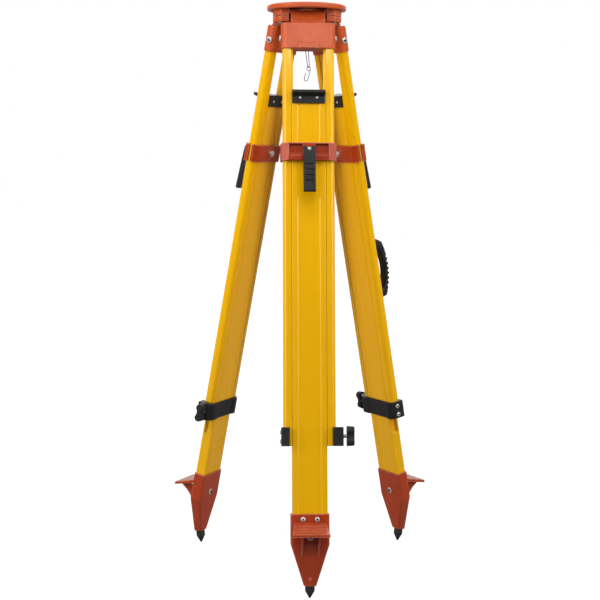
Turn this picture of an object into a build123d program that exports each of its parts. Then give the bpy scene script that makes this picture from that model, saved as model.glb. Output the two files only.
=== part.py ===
from build123d import *
import os

# Surveying tripod in millimetres. The origin is the centre of the head's top face and +Z is up.
# The front leg points to -Y. Each leg is modelled once in a leg frame of its own:
# X runs across the leg, -Y faces outwards, +Z runs up the leg, and Z = 0 is level with the hinge pin.
# A length named "..._at" is a distance down the leg from there.

# Head
head_radius = 81.5
head_thickness = 11
head_web = 7.5
rim_width = 9
rim_round = 4.2
rim_chamfer = 1.6
opening_radius = 30
opening_wall = 14
bolt_circle = 62
block_outline = ((71.6, 16), (57.8, 24), (47.9, 7), (47.9, -7), (57.8, -24), (71.6, -16))
block_first_angle = 90
block_bottom = 36.5
split_gap = 0.8
cap_chamfer = 1.2
hinge_bolt_radius = 3
hinge_bolt_head = (5.8, 4)
hinge_bolt_length = 20
hinge_bolt_depth = 15

# Leg hinges
hinge_radius = 41
hinge_drop = 24.5
hinge_inset = 7
spread = 10.9
pin_radius = 5
pin_length = 112
pin_play = 0.5
knuckle_radius = 11.5
knuckle_width = 69
knuckle_foot = (2, 4)
fit_gap = 0.05
leg_turn = 120

# Leg casting
casting_width = 110
casting_depth = 29
casting_top_at = 19
casting_bottom_at = 72
casting_corner = 14
casting_rounds = (3, 1.5)
pocket_width = 46
pocket_margin = 7
pocket_corner = 4
pocket_web = 5
pocket_floor = 7
tab_width = 39
tab_height = 13
tab_dip = 3.6
tab_proud = 3.5
tab_bevel = 2.4
side_bolt_at = 49
side_bolt_radius = 3
side_bolt_head = (6.25, 4)
side_bolt_length = 24

# Rails of the upper leg
rail_inner = 35
rail_outer = 52
rail_depth = 22
rail_corner = 8
rail_wall = 3
tongue_reach = 4.4
tongue_root = 14
tongue_tip = 8
groove_play = 0.5
rail_top_at = 23
rail_bottom_at = 868

# Lower leg
leg_width = 69.2
leg_depth = 22
leg_panel = 44
leg_panel_depth = 0.8
leg_corner = 1.2
leg_void = (50, 14)
leg_void_corner = 2
leg_top_at = 164
leg_bottom_at = 1057
slide_gap = 0.6

# End cap of the lower leg
cap_width = 66
cap_top_at = 160
cap_bottom_at = 184
cap_wall = 3
shelf_reach = 28
shelf_thickness = 5
shelf_root = 9
cap_corner = 2
cap_plug = 10
plug_play = 0.5
rivet_spacing = 34
rivet_at = 173
rivet_head = (2.9, 1.6)
rivet_shank = 2
rivet_length = 2

# Lever clamp
yoke_width = 109.6
yoke_top_at = 265
yoke_bottom_at = 300.5
yoke_face = 20.5
yoke_flat = 82
yoke_end_face = 13
yoke_hook = 5
yoke_round = 1.5
yoke_pocket = (12.5, 39.5)
yoke_pocket_depth = 5.5
yoke_pocket_top_at = 267.4
yoke_pocket_ledge_at = 286.5
yoke_pocket_bottom_at = 291.2
back_face = 17
back_flat = 90
back_overhang = 2
back_hook = 2
back_bevel = 10
back_boss = 24
back_boss_height = 1.5
draw_bolt_at = 281.5
draw_bolt_radius = 4
draw_bolt_end = 2
nut_radius = 7
nut_height = 5
pivot_out = 31
eye_radius = 5
eye_width = 7
pivot_pin_radius = 2.5
pivot_pin_inset = 0.5
lever_width = 24
lever_length = 86
lever_tip_out = 14
lever_tip_back = 3
lever_neck = (5, 15)
lever_crease = (9.5, 11)
lever_top = (7.6, 6.5)
lever_slot = 8.8
lever_slot_front = 5.4
lever_slot_low = 6.2
lever_notch = ((11.2, 7.2), (5.8, 4.4), (0, -4.7))
lever_round = 3
cam_radius = 10.2
cam_flat = 5
cam_arc = ((2, 7.5), (7.4, 5.4))
grip_slots = 4
grip_slot_pitch = 11
grip_slot_first = 31
grip_slot = (17, 3)
grip_slot_corner = 1
grip_slot_depth = 2

# Lower clamp on the rail ends
clamp_top_at = 831
clamp_lip = 17
clamp_left = 56
clamp_right = 66.5
clamp_mouth = (-40, 46)
clamp_back = 17
clamp_dip = (28, 34, 14.2)
clamp_bevels = (11, 9)
clamp_corner = 2.5
clamp_chamfer = 0.8
clamp_bolts_at = (840.5, 859)
clamp_bolt_radius = 2.5
clamp_bolt_head = (4.5, 2.8)
clamp_bolt_length = 8.5
thumb_at = 849
thumb_radius = 4
thumb_tip = 52.4
thumb_inset = 5
thumb_chamfer = 1
knob_start = 74
knob_end = 89
knob_length = 40
knob_width = 18
knob_waist = 12
knob_scallop = 14
knob_taper = 4
knob_round = 2

# Shoe and point
shoe_width = 76
shoe_depth = 27
shoe_top_at = 1000.5
shoe_taper_at = 1060
shoe_corner = 4
shoe_bottom_at = 1138.5
shoe_foot = (25, 19)
foot_inset = 5.5
foot_tilt = 16
lug_widths = (63, 72)
lug_root_at = 1018.5
lug_tip_at = 1036
lug_out = 58.5
lug_edge = 6
lug_thickness = 8
lug_treads = 3
lug_tread_radius = 1.3
gusset_spacing = 33
gusset_thickness = 4
gusset_curve = ((56, 1040.5), (30.5, 1055.2), (9, 1090))
shoe_screw_at = 1010.5
shoe_screw_spacing = 28
shoe_screw_head = (4.6, 2.4)
shoe_screw_shank = 2
shoe_screw_length = 2
shoe_bolt_at = 1045
shoe_bolt_head = (7.8, 3.4)
shoe_bolt_length = 13
point_radius = 9.5
point_collar = 13
point_length = 28
point_tip_radius = 1.5
point_tang = (6, 16)

# Carry handle on the right leg
handle_width = 22
handle_base = 4
handle_corner = 5
handle_top_at = 446
handle_bottom_at = 628
handle_bow = ((53, 487), (62.5, 541), (48, 606))
handle_feet_at = (460, 614)
handle_gap = ((45, 504), (52.5, 541), (42, 588))
handle_gap_feet_at = (488, 593)
handle_grooves = 8
handle_grooved = (0.215, 0.785)
handle_groove_radius = 2
handle_screws_at = (453, 621)
handle_screw_head = (4, 2.2)
handle_screw_shank = 2

# Centre screw, its arm and the plumb hook
screw_radius = 7.9375
screw_top = 5
screw_chamfer = 1.5
thread_end = -8
shank_radius = 7.4
arm_pivot = 37
arm_top = -12
arm_thickness = 5
arm_pivot_radius = 4
arm_round = 1
arm_play = 0.3
arm_screw_radius = 3
arm_screw_top = -3.5
arm_screw_depth = 8
arm_screw_head = (7, 3, 4)
arm_ends = (8, 15)
ring_radius = 11
ring_height = 2.8
ring_play = 0.2
ring_chamfer = 0.5
knob_top = -34
knob_bottom = -78
screw_knob_radius = 16
screw_knob_chamfer = 1.5
knob_flutes = 8
flute_radius = 4
flute_offset = 2
shank_depth = 2
stem_radius = 6
stem_proud = 1
tail_section = (3.2, 8)
tail_below = 3
hook_pivot = -84
link_angle = 50
link_width = 11
link_foot = 5.4
link_lean = 8.5
link_drop = 41
link_bend = 2.4
link_split = 0.8
wire_radius = 0.75
wire_play = 0.3
hook_angle = -30
eye_bend = 4.2
eye_sweep = 320
hook_bend = 4
hook_shank = 21.5
hook_tip = 10
hook_play = 0.35

casting_height = casting_bottom_at - casting_top_at
head_edge_share = 0.4
half_depth = leg_depth / 2
panel_face = half_depth - leg_panel_depth


def pan_bolt(head, height, shank, length):
    """Pan-head bolt along Z: the domed head stands on Z = 0 and the shank hangs below it."""
    edge = height * head_edge_share
    dome = height - edge
    with BuildPart() as bolt:
        with BuildSketch(Plane.XZ):
            with BuildLine():
                Polyline((0, -length), (shank, -length), (shank, 0), (head, 0), (head, edge))
                RadiusArc((head, edge), (0, height), -(head**2 + dome**2) / (2 * dome))
                Line((0, height), (0, -length))
            make_face()
        revolve(axis=Axis.Z)
    return bolt.part


def facing(x, y, at, direction):
    """Location on the leg whose Z axis points along +X, -X, +Y or -Y."""
    turns = {"+X": (0, 90, 0), "-X": (0, -90, 0), "+Y": (-90, 0, 0), "-Y": (90, 0, 0)}
    return Location((x, y, -at), turns[direction])


def level_vector(angle):
    """Level unit vector, turned from X by an angle."""
    return Vector(1, 0, 0).rotate(Axis.Z, angle)


def upright_plane(origin, angle):
    """Vertical plane through a point, turned from X by an angle."""
    along = level_vector(angle)
    return Plane(origin, x_dir=along, z_dir=along.cross(Vector(0, 0, 1)))


# Outlines of the right-hand rail, of the groove for its tongue and of the room around it
with BuildSketch() as rail_outline:
    with Locations(((rail_inner + rail_outer) / 2, 0)):
        Rectangle(rail_outer - rail_inner, rail_depth)
    fillet(rail_outline.vertices().group_by(Axis.X)[-1], rail_corner)
    with BuildLine():
        Polyline(
            (rail_inner, -tongue_root / 2),
            (rail_inner, tongue_root / 2),
            (rail_inner - tongue_reach, tongue_tip / 2),
            (rail_inner - tongue_reach, -tongue_tip / 2),
            close=True,
        )
    make_face()

with BuildSketch() as leg_groove:
    groove_floor = rail_inner - tongue_reach - groove_play
    groove_mouth = tongue_root / 2 + groove_play
    groove_end = tongue_tip / 2 + groove_play
    with BuildLine():
        Polyline(
            (rail_inner, -groove_mouth),
            (rail_inner, groove_mouth),
            (groove_floor, groove_end),
            (groove_floor, -groove_end),
            close=True,
        )
    make_face()

with BuildSketch() as rail_seat:
    add(rail_outline.sketch)
    offset(amount=fit_gap, kind=Kind.INTERSECTION)

with BuildSketch() as rail_room:
    with Locations(((rail_inner + rail_outer) / 2, 0)):
        Rectangle(rail_outer - rail_inner + 2 * slide_gap, rail_depth + 2 * slide_gap)
    fillet(rail_room.vertices().group_by(Axis.X)[-1], rail_corner + slide_gap)

# Leg casting: a stadium-shaped body for both rail ends under a round hinge knuckle
with BuildPart() as leg_casting:
    with BuildSketch(Plane.XY.offset(-casting_bottom_at)):
        RectangleRounded(casting_width, casting_depth, casting_corner)
    extrude(amount=casting_height)
    fillet(leg_casting.faces().sort_by(Axis.Z)[-1].edges(), casting_rounds[0])
    fillet(leg_casting.faces().sort_by(Axis.Z)[0].edges(), casting_rounds[1])
    with BuildSketch(Plane.YZ.offset(-knuckle_width / 2)):
        with BuildLine():
            foot = -casting_top_at - knuckle_foot[1]
            foot_half = casting_depth / 2 - knuckle_foot[0]
            front = (hinge_inset - knuckle_radius, 0)
            back = (hinge_inset + knuckle_radius, 0)
            ThreePointArc(back, (hinge_inset, knuckle_radius), front)
            Polyline(front, (-foot_half, foot), (foot_half, foot), back)
        make_face()
    extrude(amount=knuckle_width)
    with BuildSketch(Plane.XZ.offset(casting_depth / 2)):
        with BuildLine():
            tab_top = tab_height - casting_bottom_at
            tab_side = tab_width / 2
            ThreePointArc((-tab_side, tab_top), (0, tab_top - tab_dip), (tab_side, tab_top))
            Polyline(
                (tab_side, tab_top),
                (tab_side, -casting_bottom_at),
                (-tab_side, -casting_bottom_at),
                (-tab_side, tab_top),
            )
        make_face()
    extrude(amount=tab_proud)
    chamfer(leg_casting.faces().sort_by(Axis.Y)[0].edges().filter_by(GeomType.CIRCLE), tab_bevel)
    with BuildSketch(Plane.XZ.offset(-casting_depth / 2)):
        with Locations((0, -(casting_top_at + casting_bottom_at) / 2)):
            RectangleRounded(pocket_width, casting_height - 2 * pocket_margin, pocket_corner)
            Rectangle(pocket_web, casting_height, mode=Mode.SUBTRACT)
    extrude(amount=casting_depth - pocket_floor, mode=Mode.SUBTRACT)
    with BuildSketch(Plane.YZ.offset(-knuckle_width / 2)):
        with Locations((hinge_inset, 0)):
            Circle(pin_radius + fit_gap)
    extrude(amount=knuckle_width, mode=Mode.SUBTRACT)
    with BuildSketch(Plane.XY.offset(-casting_bottom_at)):
        add(rail_seat.sketch)
        mirror(about=Plane.YZ)
    extrude(amount=casting_bottom_at - rail_top_at, mode=Mode.SUBTRACT)
    with Locations(facing(0, 0, side_bolt_at, "+X")):
        Cylinder(side_bolt_radius + fit_gap, casting_width, mode=Mode.SUBTRACT)

# Rails: hollow pultrusions with a tongue that guides the lower leg
with BuildPart() as right_rail:
    with BuildSketch(Plane.XY.offset(-rail_bottom_at)):
        add(rail_outline.sketch)
        with Locations(((rail_inner + rail_outer) / 2, 0)):
            RectangleRounded(
                rail_outer - rail_inner - 2 * rail_wall,
                rail_depth - 2 * rail_wall,
                rail_corner - rail_wall,
                mode=Mode.SUBTRACT,
            )
    extrude(amount=rail_bottom_at - rail_top_at)
    with Locations(facing(rail_outer, 0, side_bolt_at, "+X")):
        Cylinder(side_bolt_radius + fit_gap, 4 * rail_outer, mode=Mode.SUBTRACT)

with BuildPart() as left_rail:
    add(right_rail.part)
    mirror(about=Plane.YZ, mode=Mode.REPLACE)
    for bolt_at in clamp_bolts_at:
        with Locations(facing(-rail_outer, 0, bolt_at, "+X")):
            Cylinder(clamp_bolt_radius + fit_gap, 2 * rail_wall, mode=Mode.SUBTRACT)

# Lower clamp: a waved band round the back of both rails, open in front, with a boss for the thumb screw
with BuildPart() as lower_clamp:
    with BuildSketch(Plane.XY.offset(-rail_bottom_at)) as clamp_plan:
        with BuildLine():
            Polyline(
                (-clamp_left, -clamp_lip),
                (clamp_right, -clamp_lip),
                (clamp_right, clamp_back - clamp_bevels[1]),
                (rail_outer, clamp_back),
                (clamp_dip[1], clamp_back),
                (clamp_dip[0], clamp_dip[2]),
                (-clamp_dip[0], clamp_dip[2]),
                (-clamp_dip[1], clamp_back),
                (clamp_bevels[0] - clamp_left, clamp_back),
                (-clamp_left, clamp_back - clamp_bevels[0]),
                close=True,
            )
        make_face()
        fillet(clamp_plan.vertices(), clamp_corner)
        with Locations((sum(clamp_mouth) / 2, -clamp_lip)):
            Rectangle(clamp_mouth[1] - clamp_mouth[0], 2 * clamp_lip, mode=Mode.SUBTRACT)
        Rectangle(leg_width + 2 * slide_gap, leg_depth + 2 * slide_gap, mode=Mode.SUBTRACT)
        add(rail_seat.sketch, mode=Mode.SUBTRACT)
        add(mirror(rail_seat.sketch, about=Plane.YZ, mode=Mode.PRIVATE), mode=Mode.SUBTRACT)
    extrude(amount=rail_bottom_at - clamp_top_at)
    chamfer(lower_clamp.faces().group_by(Axis.Y)[-1].edges().filter_by(Axis.X), clamp_chamfer)
    with Locations(facing((thumb_tip + clamp_right) / 2, 0, thumb_at, "+X")):
        Cylinder(thumb_radius + fit_gap, 2 * (clamp_right - thumb_tip), mode=Mode.SUBTRACT)
    for bolt_at in clamp_bolts_at:
        with Locations(facing(-clamp_left, 0, bolt_at, "+X")):
            Cylinder(clamp_bolt_radius + fit_gap, 2 * clamp_bolt_length, mode=Mode.SUBTRACT)

# Fasteners of the upper leg: two bolts through the casting and two through the clamp
casting_bolt = pan_bolt(*side_bolt_head, side_bolt_radius, side_bolt_length)
clamp_bolt = pan_bolt(*clamp_bolt_head, clamp_bolt_radius, clamp_bolt_length)
with BuildPart() as upper_fasteners:
    with Locations(facing(casting_width / 2, 0, side_bolt_at, "+X")):
        add(casting_bolt)
    with Locations(facing(-casting_width / 2, 0, side_bolt_at, "-X")):
        add(casting_bolt)
    for bolt_at in clamp_bolts_at:
        with Locations(facing(-clamp_left, 0, bolt_at, "-X")):
            add(clamp_bolt)

# Thumb screw: a threaded stud and a two-winged knob
with BuildPart() as thumb_stud:
    with BuildSketch(Plane.YZ.offset(thumb_tip)):
        with Locations((0, -thumb_at)):
            Circle(thumb_radius)
    extrude(amount=knob_end - thumb_inset - thumb_tip)
    chamfer(thumb_stud.faces().sort_by(Axis.X)[0].edges(), thumb_chamfer)

with BuildPart() as thumb_knob:
    with BuildSketch(Plane.YZ.offset(knob_start)):
        with Locations((0, -thumb_at)):
            SlotOverall(knob_length, knob_width, rotation=90)
        for side in (-1, 1):
            with Locations((side * (knob_waist / 2 + knob_scallop), -thumb_at)):
                Circle(knob_scallop, mode=Mode.SUBTRACT)
    extrude(amount=knob_end - knob_start, taper=knob_taper)
    fillet(thumb_knob.faces().sort_by(Axis.X)[-1].edges(), knob_round)
    with BuildSketch(Plane.YZ.offset(knob_start)):
        with Locations((0, -thumb_at)):
            Circle(thumb_radius + fit_gap)
    extrude(amount=knob_end - thumb_inset - knob_start, mode=Mode.SUBTRACT)

# Lower leg: a hollow box section, grooved at its sides for the rails' tongues
with BuildPart() as lower_leg:
    with BuildSketch(Plane.XY.offset(-leg_bottom_at)) as leg_plan:
        Rectangle(leg_width, leg_depth)
        fillet(leg_plan.vertices(), leg_corner)
        add(leg_groove.sketch, mode=Mode.SUBTRACT)
        add(mirror(leg_groove.sketch, about=Plane.YZ, mode=Mode.PRIVATE), mode=Mode.SUBTRACT)
        with GridLocations(0, leg_depth, 1, 2):
            Rectangle(leg_panel, 2 * leg_panel_depth, mode=Mode.SUBTRACT)
        RectangleRounded(*leg_void, leg_void_corner, mode=Mode.SUBTRACT)
    extrude(amount=leg_bottom_at - leg_top_at)
    for bolt_at in (draw_bolt_at, shoe_bolt_at):
        with Locations(facing(0, 0, bolt_at, "+Y")):
            Cylinder(draw_bolt_radius + fit_gap, 2 * leg_depth, mode=Mode.SUBTRACT)

# End cap: skirts over both faces of the lower leg and a finger shelf that stands out in front
with BuildPart() as end_cap:
    with BuildSketch(Plane.YZ.offset(-cap_width / 2)):
        with BuildLine():
            Polyline(
                (half_depth + cap_wall, -cap_bottom_at),
                (half_depth + cap_wall, -cap_top_at),
                (-shelf_reach, -cap_top_at),
                (-shelf_reach, -cap_top_at - shelf_thickness),
                (-half_depth - cap_wall, -cap_top_at - shelf_root),
                (-half_depth - cap_wall, -cap_bottom_at),
                close=True,
            )
        make_face()
    extrude(amount=cap_width)
    fillet(end_cap.edges().filter_by(Axis.Y).group_by(Axis.Z)[0], cap_corner)
    fillet(end_cap.edges().filter_by(Axis.Z).group_by(Axis.Y)[0], cap_corner)
    with BuildSketch(Plane.XY.offset(-cap_bottom_at)):
        Rectangle(2 * cap_width, leg_depth)
    extrude(amount=cap_bottom_at - leg_top_at, mode=Mode.SUBTRACT)
    with BuildSketch(Plane.XY.offset(-leg_top_at)):
        add(leg_groove.sketch)
        add(mirror(leg_groove.sketch, about=Plane.YZ, mode=Mode.PRIVATE))
    extrude(amount=leg_top_at - cap_top_at, mode=Mode.SUBTRACT)
    with BuildSketch(Plane.XY.offset(-leg_top_at)):
        RectangleRounded(leg_void[0] - 2 * plug_play, leg_void[1] - 2 * plug_play, leg_void_corner)
    extrude(amount=-cap_plug)
    for side in (-1, 1):
        with Locations(facing(side * rivet_spacing / 2, 0, rivet_at, "+Y")):
            Cylinder(rivet_shank + fit_gap, 4 * leg_depth, mode=Mode.SUBTRACT)

# Front yoke: hooks round both rails, with bevelled ends and a sloping pocket on each side of the lever
with BuildPart() as front_yoke:
    with BuildSketch(Plane.XY.offset(-yoke_bottom_at)):
        with BuildLine():
            Polyline(
                (-yoke_flat / 2, -yoke_face),
                (yoke_flat / 2, -yoke_face),
                (yoke_width / 2, -yoke_end_face),
                (yoke_width / 2, -yoke_hook),
                (rail_inner, -yoke_hook),
                (rail_inner - slide_gap, -half_depth),
                (slide_gap - rail_inner, -half_depth),
                (-rail_inner, -yoke_hook),
                (-yoke_width / 2, -yoke_hook),
                (-yoke_width / 2, -yoke_end_face),
                close=True,
            )
        make_face()
        add(rail_room.sketch, mode=Mode.SUBTRACT)
        add(mirror(rail_room.sketch, about=Plane.YZ, mode=Mode.PRIVATE), mode=Mode.SUBTRACT)
    extrude(amount=yoke_bottom_at - yoke_top_at)
    fillet(front_yoke.faces().sort_by(Axis.Y)[0].edges().filter_by(Axis.X), yoke_round)
    pocket_back = yoke_pocket_depth - yoke_face
    for pocket_start in (-yoke_pocket[1], yoke_pocket[0]):
        with BuildSketch(Plane.YZ.offset(pocket_start)):
            with BuildLine():
                Polyline(
                    (-yoke_face, -yoke_pocket_top_at),
                    (pocket_back, -yoke_pocket_top_at),
                    (pocket_back, -yoke_pocket_ledge_at),
                    (-yoke_face, -yoke_pocket_bottom_at),
                    close=True,
                )
            make_face()
        extrude(amount=yoke_pocket[1] - yoke_pocket[0], mode=Mode.SUBTRACT)
    with Locations(facing(0, -yoke_face, draw_bolt_at, "+Y")):
        Cylinder(draw_bolt_radius + fit_gap, 2 * yoke_face, mode=Mode.SUBTRACT)

# Back yoke: a plate bent round both rails, with a boss for the draw bolt's nut
back_side = yoke_width / 2 + back_overhang
with BuildPart() as back_yoke:
    with BuildSketch(Plane.XY.offset(-yoke_bottom_at)):
        with BuildLine():
            Polyline(
                (-back_side, back_hook),
                (-back_side, back_face - back_bevel),
                (-back_flat / 2, back_face),
                (back_flat / 2, back_face),
                (back_side, back_face - back_bevel),
                (back_side, back_hook),
                (rail_inner, back_hook),
                (rail_inner - slide_gap, half_depth),
                (slide_gap - rail_inner, half_depth),
                (-rail_inner, back_hook),
                close=True,
            )
        make_face()
        add(rail_room.sketch, mode=Mode.SUBTRACT)
        add(mirror(rail_room.sketch, about=Plane.YZ, mode=Mode.PRIVATE), mode=Mode.SUBTRACT)
    extrude(amount=yoke_bottom_at - yoke_top_at)
    fillet(back_yoke.edges().filter_by(Axis.X).group_by(Axis.Y)[-1], yoke_round)
    with BuildSketch(Plane.XZ.offset(-back_face)):
        with Locations((0, -draw_bolt_at)):
            Circle(back_boss / 2)
    extrude(amount=-back_boss_height)
    with Locations(facing(0, back_face, draw_bolt_at, "+Y")):
        Cylinder(draw_bolt_radius + fit_gap, 2 * back_face, mode=Mode.SUBTRACT)

# Draw bolt: an eye in front for the lever's pin, and a nut behind
nut_face = back_face + back_boss_height
with BuildPart() as draw_bolt:
    with BuildSketch(Plane.YZ.offset(-eye_width / 2)):
        with Locations((-pivot_out, -draw_bolt_at)):
            Circle(eye_radius)
    extrude(amount=eye_width)
    with BuildSketch(Plane.XZ.offset(pivot_out)):
        with Locations((0, -draw_bolt_at)):
            Circle(draw_bolt_radius)
    extrude(amount=-(pivot_out + nut_face + nut_height + draw_bolt_end))
    with BuildSketch(Plane.XZ.offset(-nut_face)):
        with Locations((0, -draw_bolt_at)):
            RegularPolygon(nut_radius, 6)
    extrude(amount=-nut_height)
    with Locations(facing(0, -pivot_out, draw_bolt_at, "+X")):
        Cylinder(pivot_pin_radius + fit_gap, eye_width, mode=Mode.SUBTRACT)
    with Locations(facing(0, -pivot_out, draw_bolt_at, "+X")):
        Cylinder(pivot_pin_radius, lever_width - 2 * pivot_pin_inset)

# Lever: a forked cam head on the pin and a ridged blade that slants away from the leg
lever_pivot = (0, -pivot_out, -draw_bolt_at)
lever_side = Plane(lever_pivot, x_dir=(0, 1, 0), z_dir=(1, 0, 0))
lever_front = Plane(lever_pivot, x_dir=(1, 0, 0), z_dir=(0, -1, 0))
with BuildPart() as clamp_lever:
    with BuildSketch(lever_side.offset(-lever_width / 2)):
        with BuildLine():
            Polyline(
                (cam_radius, 0),
                (cam_radius, -cam_flat),
                (lever_neck[0], -lever_neck[1]),
                (-lever_tip_back, -lever_length),
                (-lever_tip_out, -lever_length),
                (-lever_crease[0], -lever_crease[1]),
                (-lever_top[0], lever_top[1]),
                cam_arc[0],
            )
            ThreePointArc(*cam_arc, (cam_radius, 0))
        make_face()
    extrude(amount=lever_width)
    fillet(clamp_lever.edges().filter_by(Axis.X).group_by(Axis.Z)[0], lever_round)
    with BuildSketch(lever_side.offset(-lever_slot / 2)):
        with Locations((-lever_slot_front, -lever_slot_low)):
            Rectangle(lever_length, lever_length, align=Align.MIN)
    extrude(amount=lever_slot, mode=Mode.SUBTRACT)
    with BuildSketch(lever_front.offset(lever_tip_out)):
        with BuildLine():
            notch = list(lever_notch) + [(-x, z) for x, z in reversed(lever_notch[:-1])]
            Polyline(*notch, (0, lever_length), close=True)
        make_face()
    extrude(amount=-lever_tip_out, mode=Mode.SUBTRACT)
    for slot in range(grip_slots):
        slot_drop = grip_slot_first + slot * grip_slot_pitch
        with BuildSketch(lever_front.offset(lever_tip_out)):
            with Locations((0, -slot_drop)):
                RectangleRounded(*grip_slot, grip_slot_corner)
        blade_lean = (lever_tip_out - lever_crease[0]) / (lever_length - lever_crease[1])
        extrude(amount=-blade_lean * (lever_length - slot_drop) - grip_slot_depth, mode=Mode.SUBTRACT)
    with Locations(facing(0, -pivot_out, draw_bolt_at, "+X")):
        Cylinder(pivot_pin_radius + fit_gap, 2 * lever_width, mode=Mode.SUBTRACT)

# Foot lug: a flared tread that slopes out from the shoe, grooved across for grip
shoe_front = shoe_depth / 2
with BuildPart() as foot_lug:
    with BuildSketch(Plane.YZ.offset(-lug_widths[1] / 2)):
        with BuildLine():
            Polyline(
                (-half_depth, -lug_root_at),
                (-shoe_front, -lug_root_at),
                (-lug_out, -lug_tip_at),
                (-lug_out, -lug_tip_at - lug_edge),
                (-shoe_front, -lug_root_at - lug_thickness),
                (-half_depth, -lug_root_at - lug_thickness),
                close=True,
            )
        make_face()
        for tread in range(1, lug_treads + 1):
            share = tread / (lug_treads + 1)
            tread_out = shoe_front + share * (lug_out - shoe_front)
            with Locations((-tread_out, -lug_root_at - share * (lug_tip_at - lug_root_at))):
                Circle(lug_tread_radius, mode=Mode.SUBTRACT)
    extrude(amount=lug_widths[1])
    with BuildSketch(Plane.XY.offset(-lug_tip_at - lug_edge)):
        with BuildLine():
            Polyline(
                (-lug_widths[1] / 2, -lug_out),
                (lug_widths[1] / 2, -lug_out),
                (lug_widths[0] / 2, -half_depth),
                (-lug_widths[0] / 2, -half_depth),
                close=True,
            )
        make_face()
    extrude(amount=lug_tip_at + lug_edge - lug_root_at, mode=Mode.INTERSECT)

# Shoe: a socket that tapers and leans to the point, with the foot lug on two gussets
foot_plane = Plane((0, foot_inset, -shoe_bottom_at)).rotated((foot_tilt, 0, 0))
with BuildPart() as shoe:
    with BuildSketch(Plane.XY.offset(-shoe_taper_at)):
        RectangleRounded(shoe_width, shoe_depth, shoe_corner)
    extrude(amount=shoe_taper_at - shoe_top_at)
    with BuildSketch(Plane.XY.offset(-shoe_taper_at)):
        RectangleRounded(shoe_width, shoe_depth, shoe_corner)
    with BuildSketch(foot_plane):
        RectangleRounded(*shoe_foot, shoe_corner)
    loft()
    add(foot_lug.part)
    for side in (-1, 1):
        with BuildSketch(Plane.YZ.offset(side * gusset_spacing / 2 - gusset_thickness / 2)):
            with BuildLine():
                tip, mid, heel = [(-out, -at) for out, at in gusset_curve]
                ThreePointArc(tip, mid, heel)
                Polyline(heel, (0, heel[1]), (0, -lug_tip_at), (tip[0], -lug_tip_at), tip)
            make_face()
        extrude(amount=gusset_thickness)
    with BuildSketch(Plane.XY.offset(-leg_bottom_at)):
        Rectangle(leg_width + 2 * fit_gap, leg_depth + 2 * fit_gap)
    extrude(amount=leg_bottom_at - shoe_top_at, mode=Mode.SUBTRACT)
    with Locations(facing(0, 0, shoe_bolt_at, "+Y")):
        Cylinder(draw_bolt_radius + fit_gap, 2 * shoe_depth, mode=Mode.SUBTRACT)
    for side in (-1, 1):
        with Locations(facing(side * shoe_screw_spacing / 2, -shoe_depth / 2, shoe_screw_at, "+Y")):
            Cylinder(shoe_screw_shank + fit_gap, leg_depth, mode=Mode.SUBTRACT)
    with BuildSketch(foot_plane):
        Circle(point_tang[0] + fit_gap)
    extrude(amount=point_tang[1], mode=Mode.SUBTRACT)

# Steel point with its tang, on the shoe's leaning foot
with BuildPart() as point:
    with BuildSketch(Plane(foot_plane.origin, x_dir=foot_plane.x_dir, z_dir=-foot_plane.y_dir)):
        with BuildLine():
            Polyline(
                (0, point_tang[1]),
                (point_tang[0], point_tang[1]),
                (point_tang[0], 0),
                (point_radius, 0),
                (point_radius, -point_collar),
                (point_tip_radius, -point_length),
                (0, -point_length),
                close=True,
            )
        make_face()
    revolve(axis=Axis(foot_plane.origin, foot_plane.z_dir))

# Fasteners of the lower leg: cap rivets, shoe screws and the shoe's through bolt
rivet = pan_bolt(*rivet_head, rivet_shank, rivet_length)
shoe_screw = pan_bolt(*shoe_screw_head, shoe_screw_shank, shoe_screw_length)
shoe_bolt = pan_bolt(*shoe_bolt_head, draw_bolt_radius, shoe_bolt_length)
with BuildPart() as lower_fasteners:
    for side in (-1, 1):
        with Locations(facing(side * rivet_spacing / 2, -half_depth - cap_wall, rivet_at, "-Y")):
            add(rivet)
        with Locations(facing(side * rivet_spacing / 2, half_depth + cap_wall, rivet_at, "+Y")):
            add(rivet)
        with Locations(facing(side * shoe_screw_spacing / 2, -shoe_depth / 2, shoe_screw_at, "-Y")):
            add(shoe_screw)
    with Locations(facing(0, -shoe_depth / 2, shoe_bolt_at, "-Y")):
        add(shoe_bolt)
    with Locations(facing(0, shoe_depth / 2, shoe_bolt_at, "+Y")):
        add(shoe_bolt)

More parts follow.
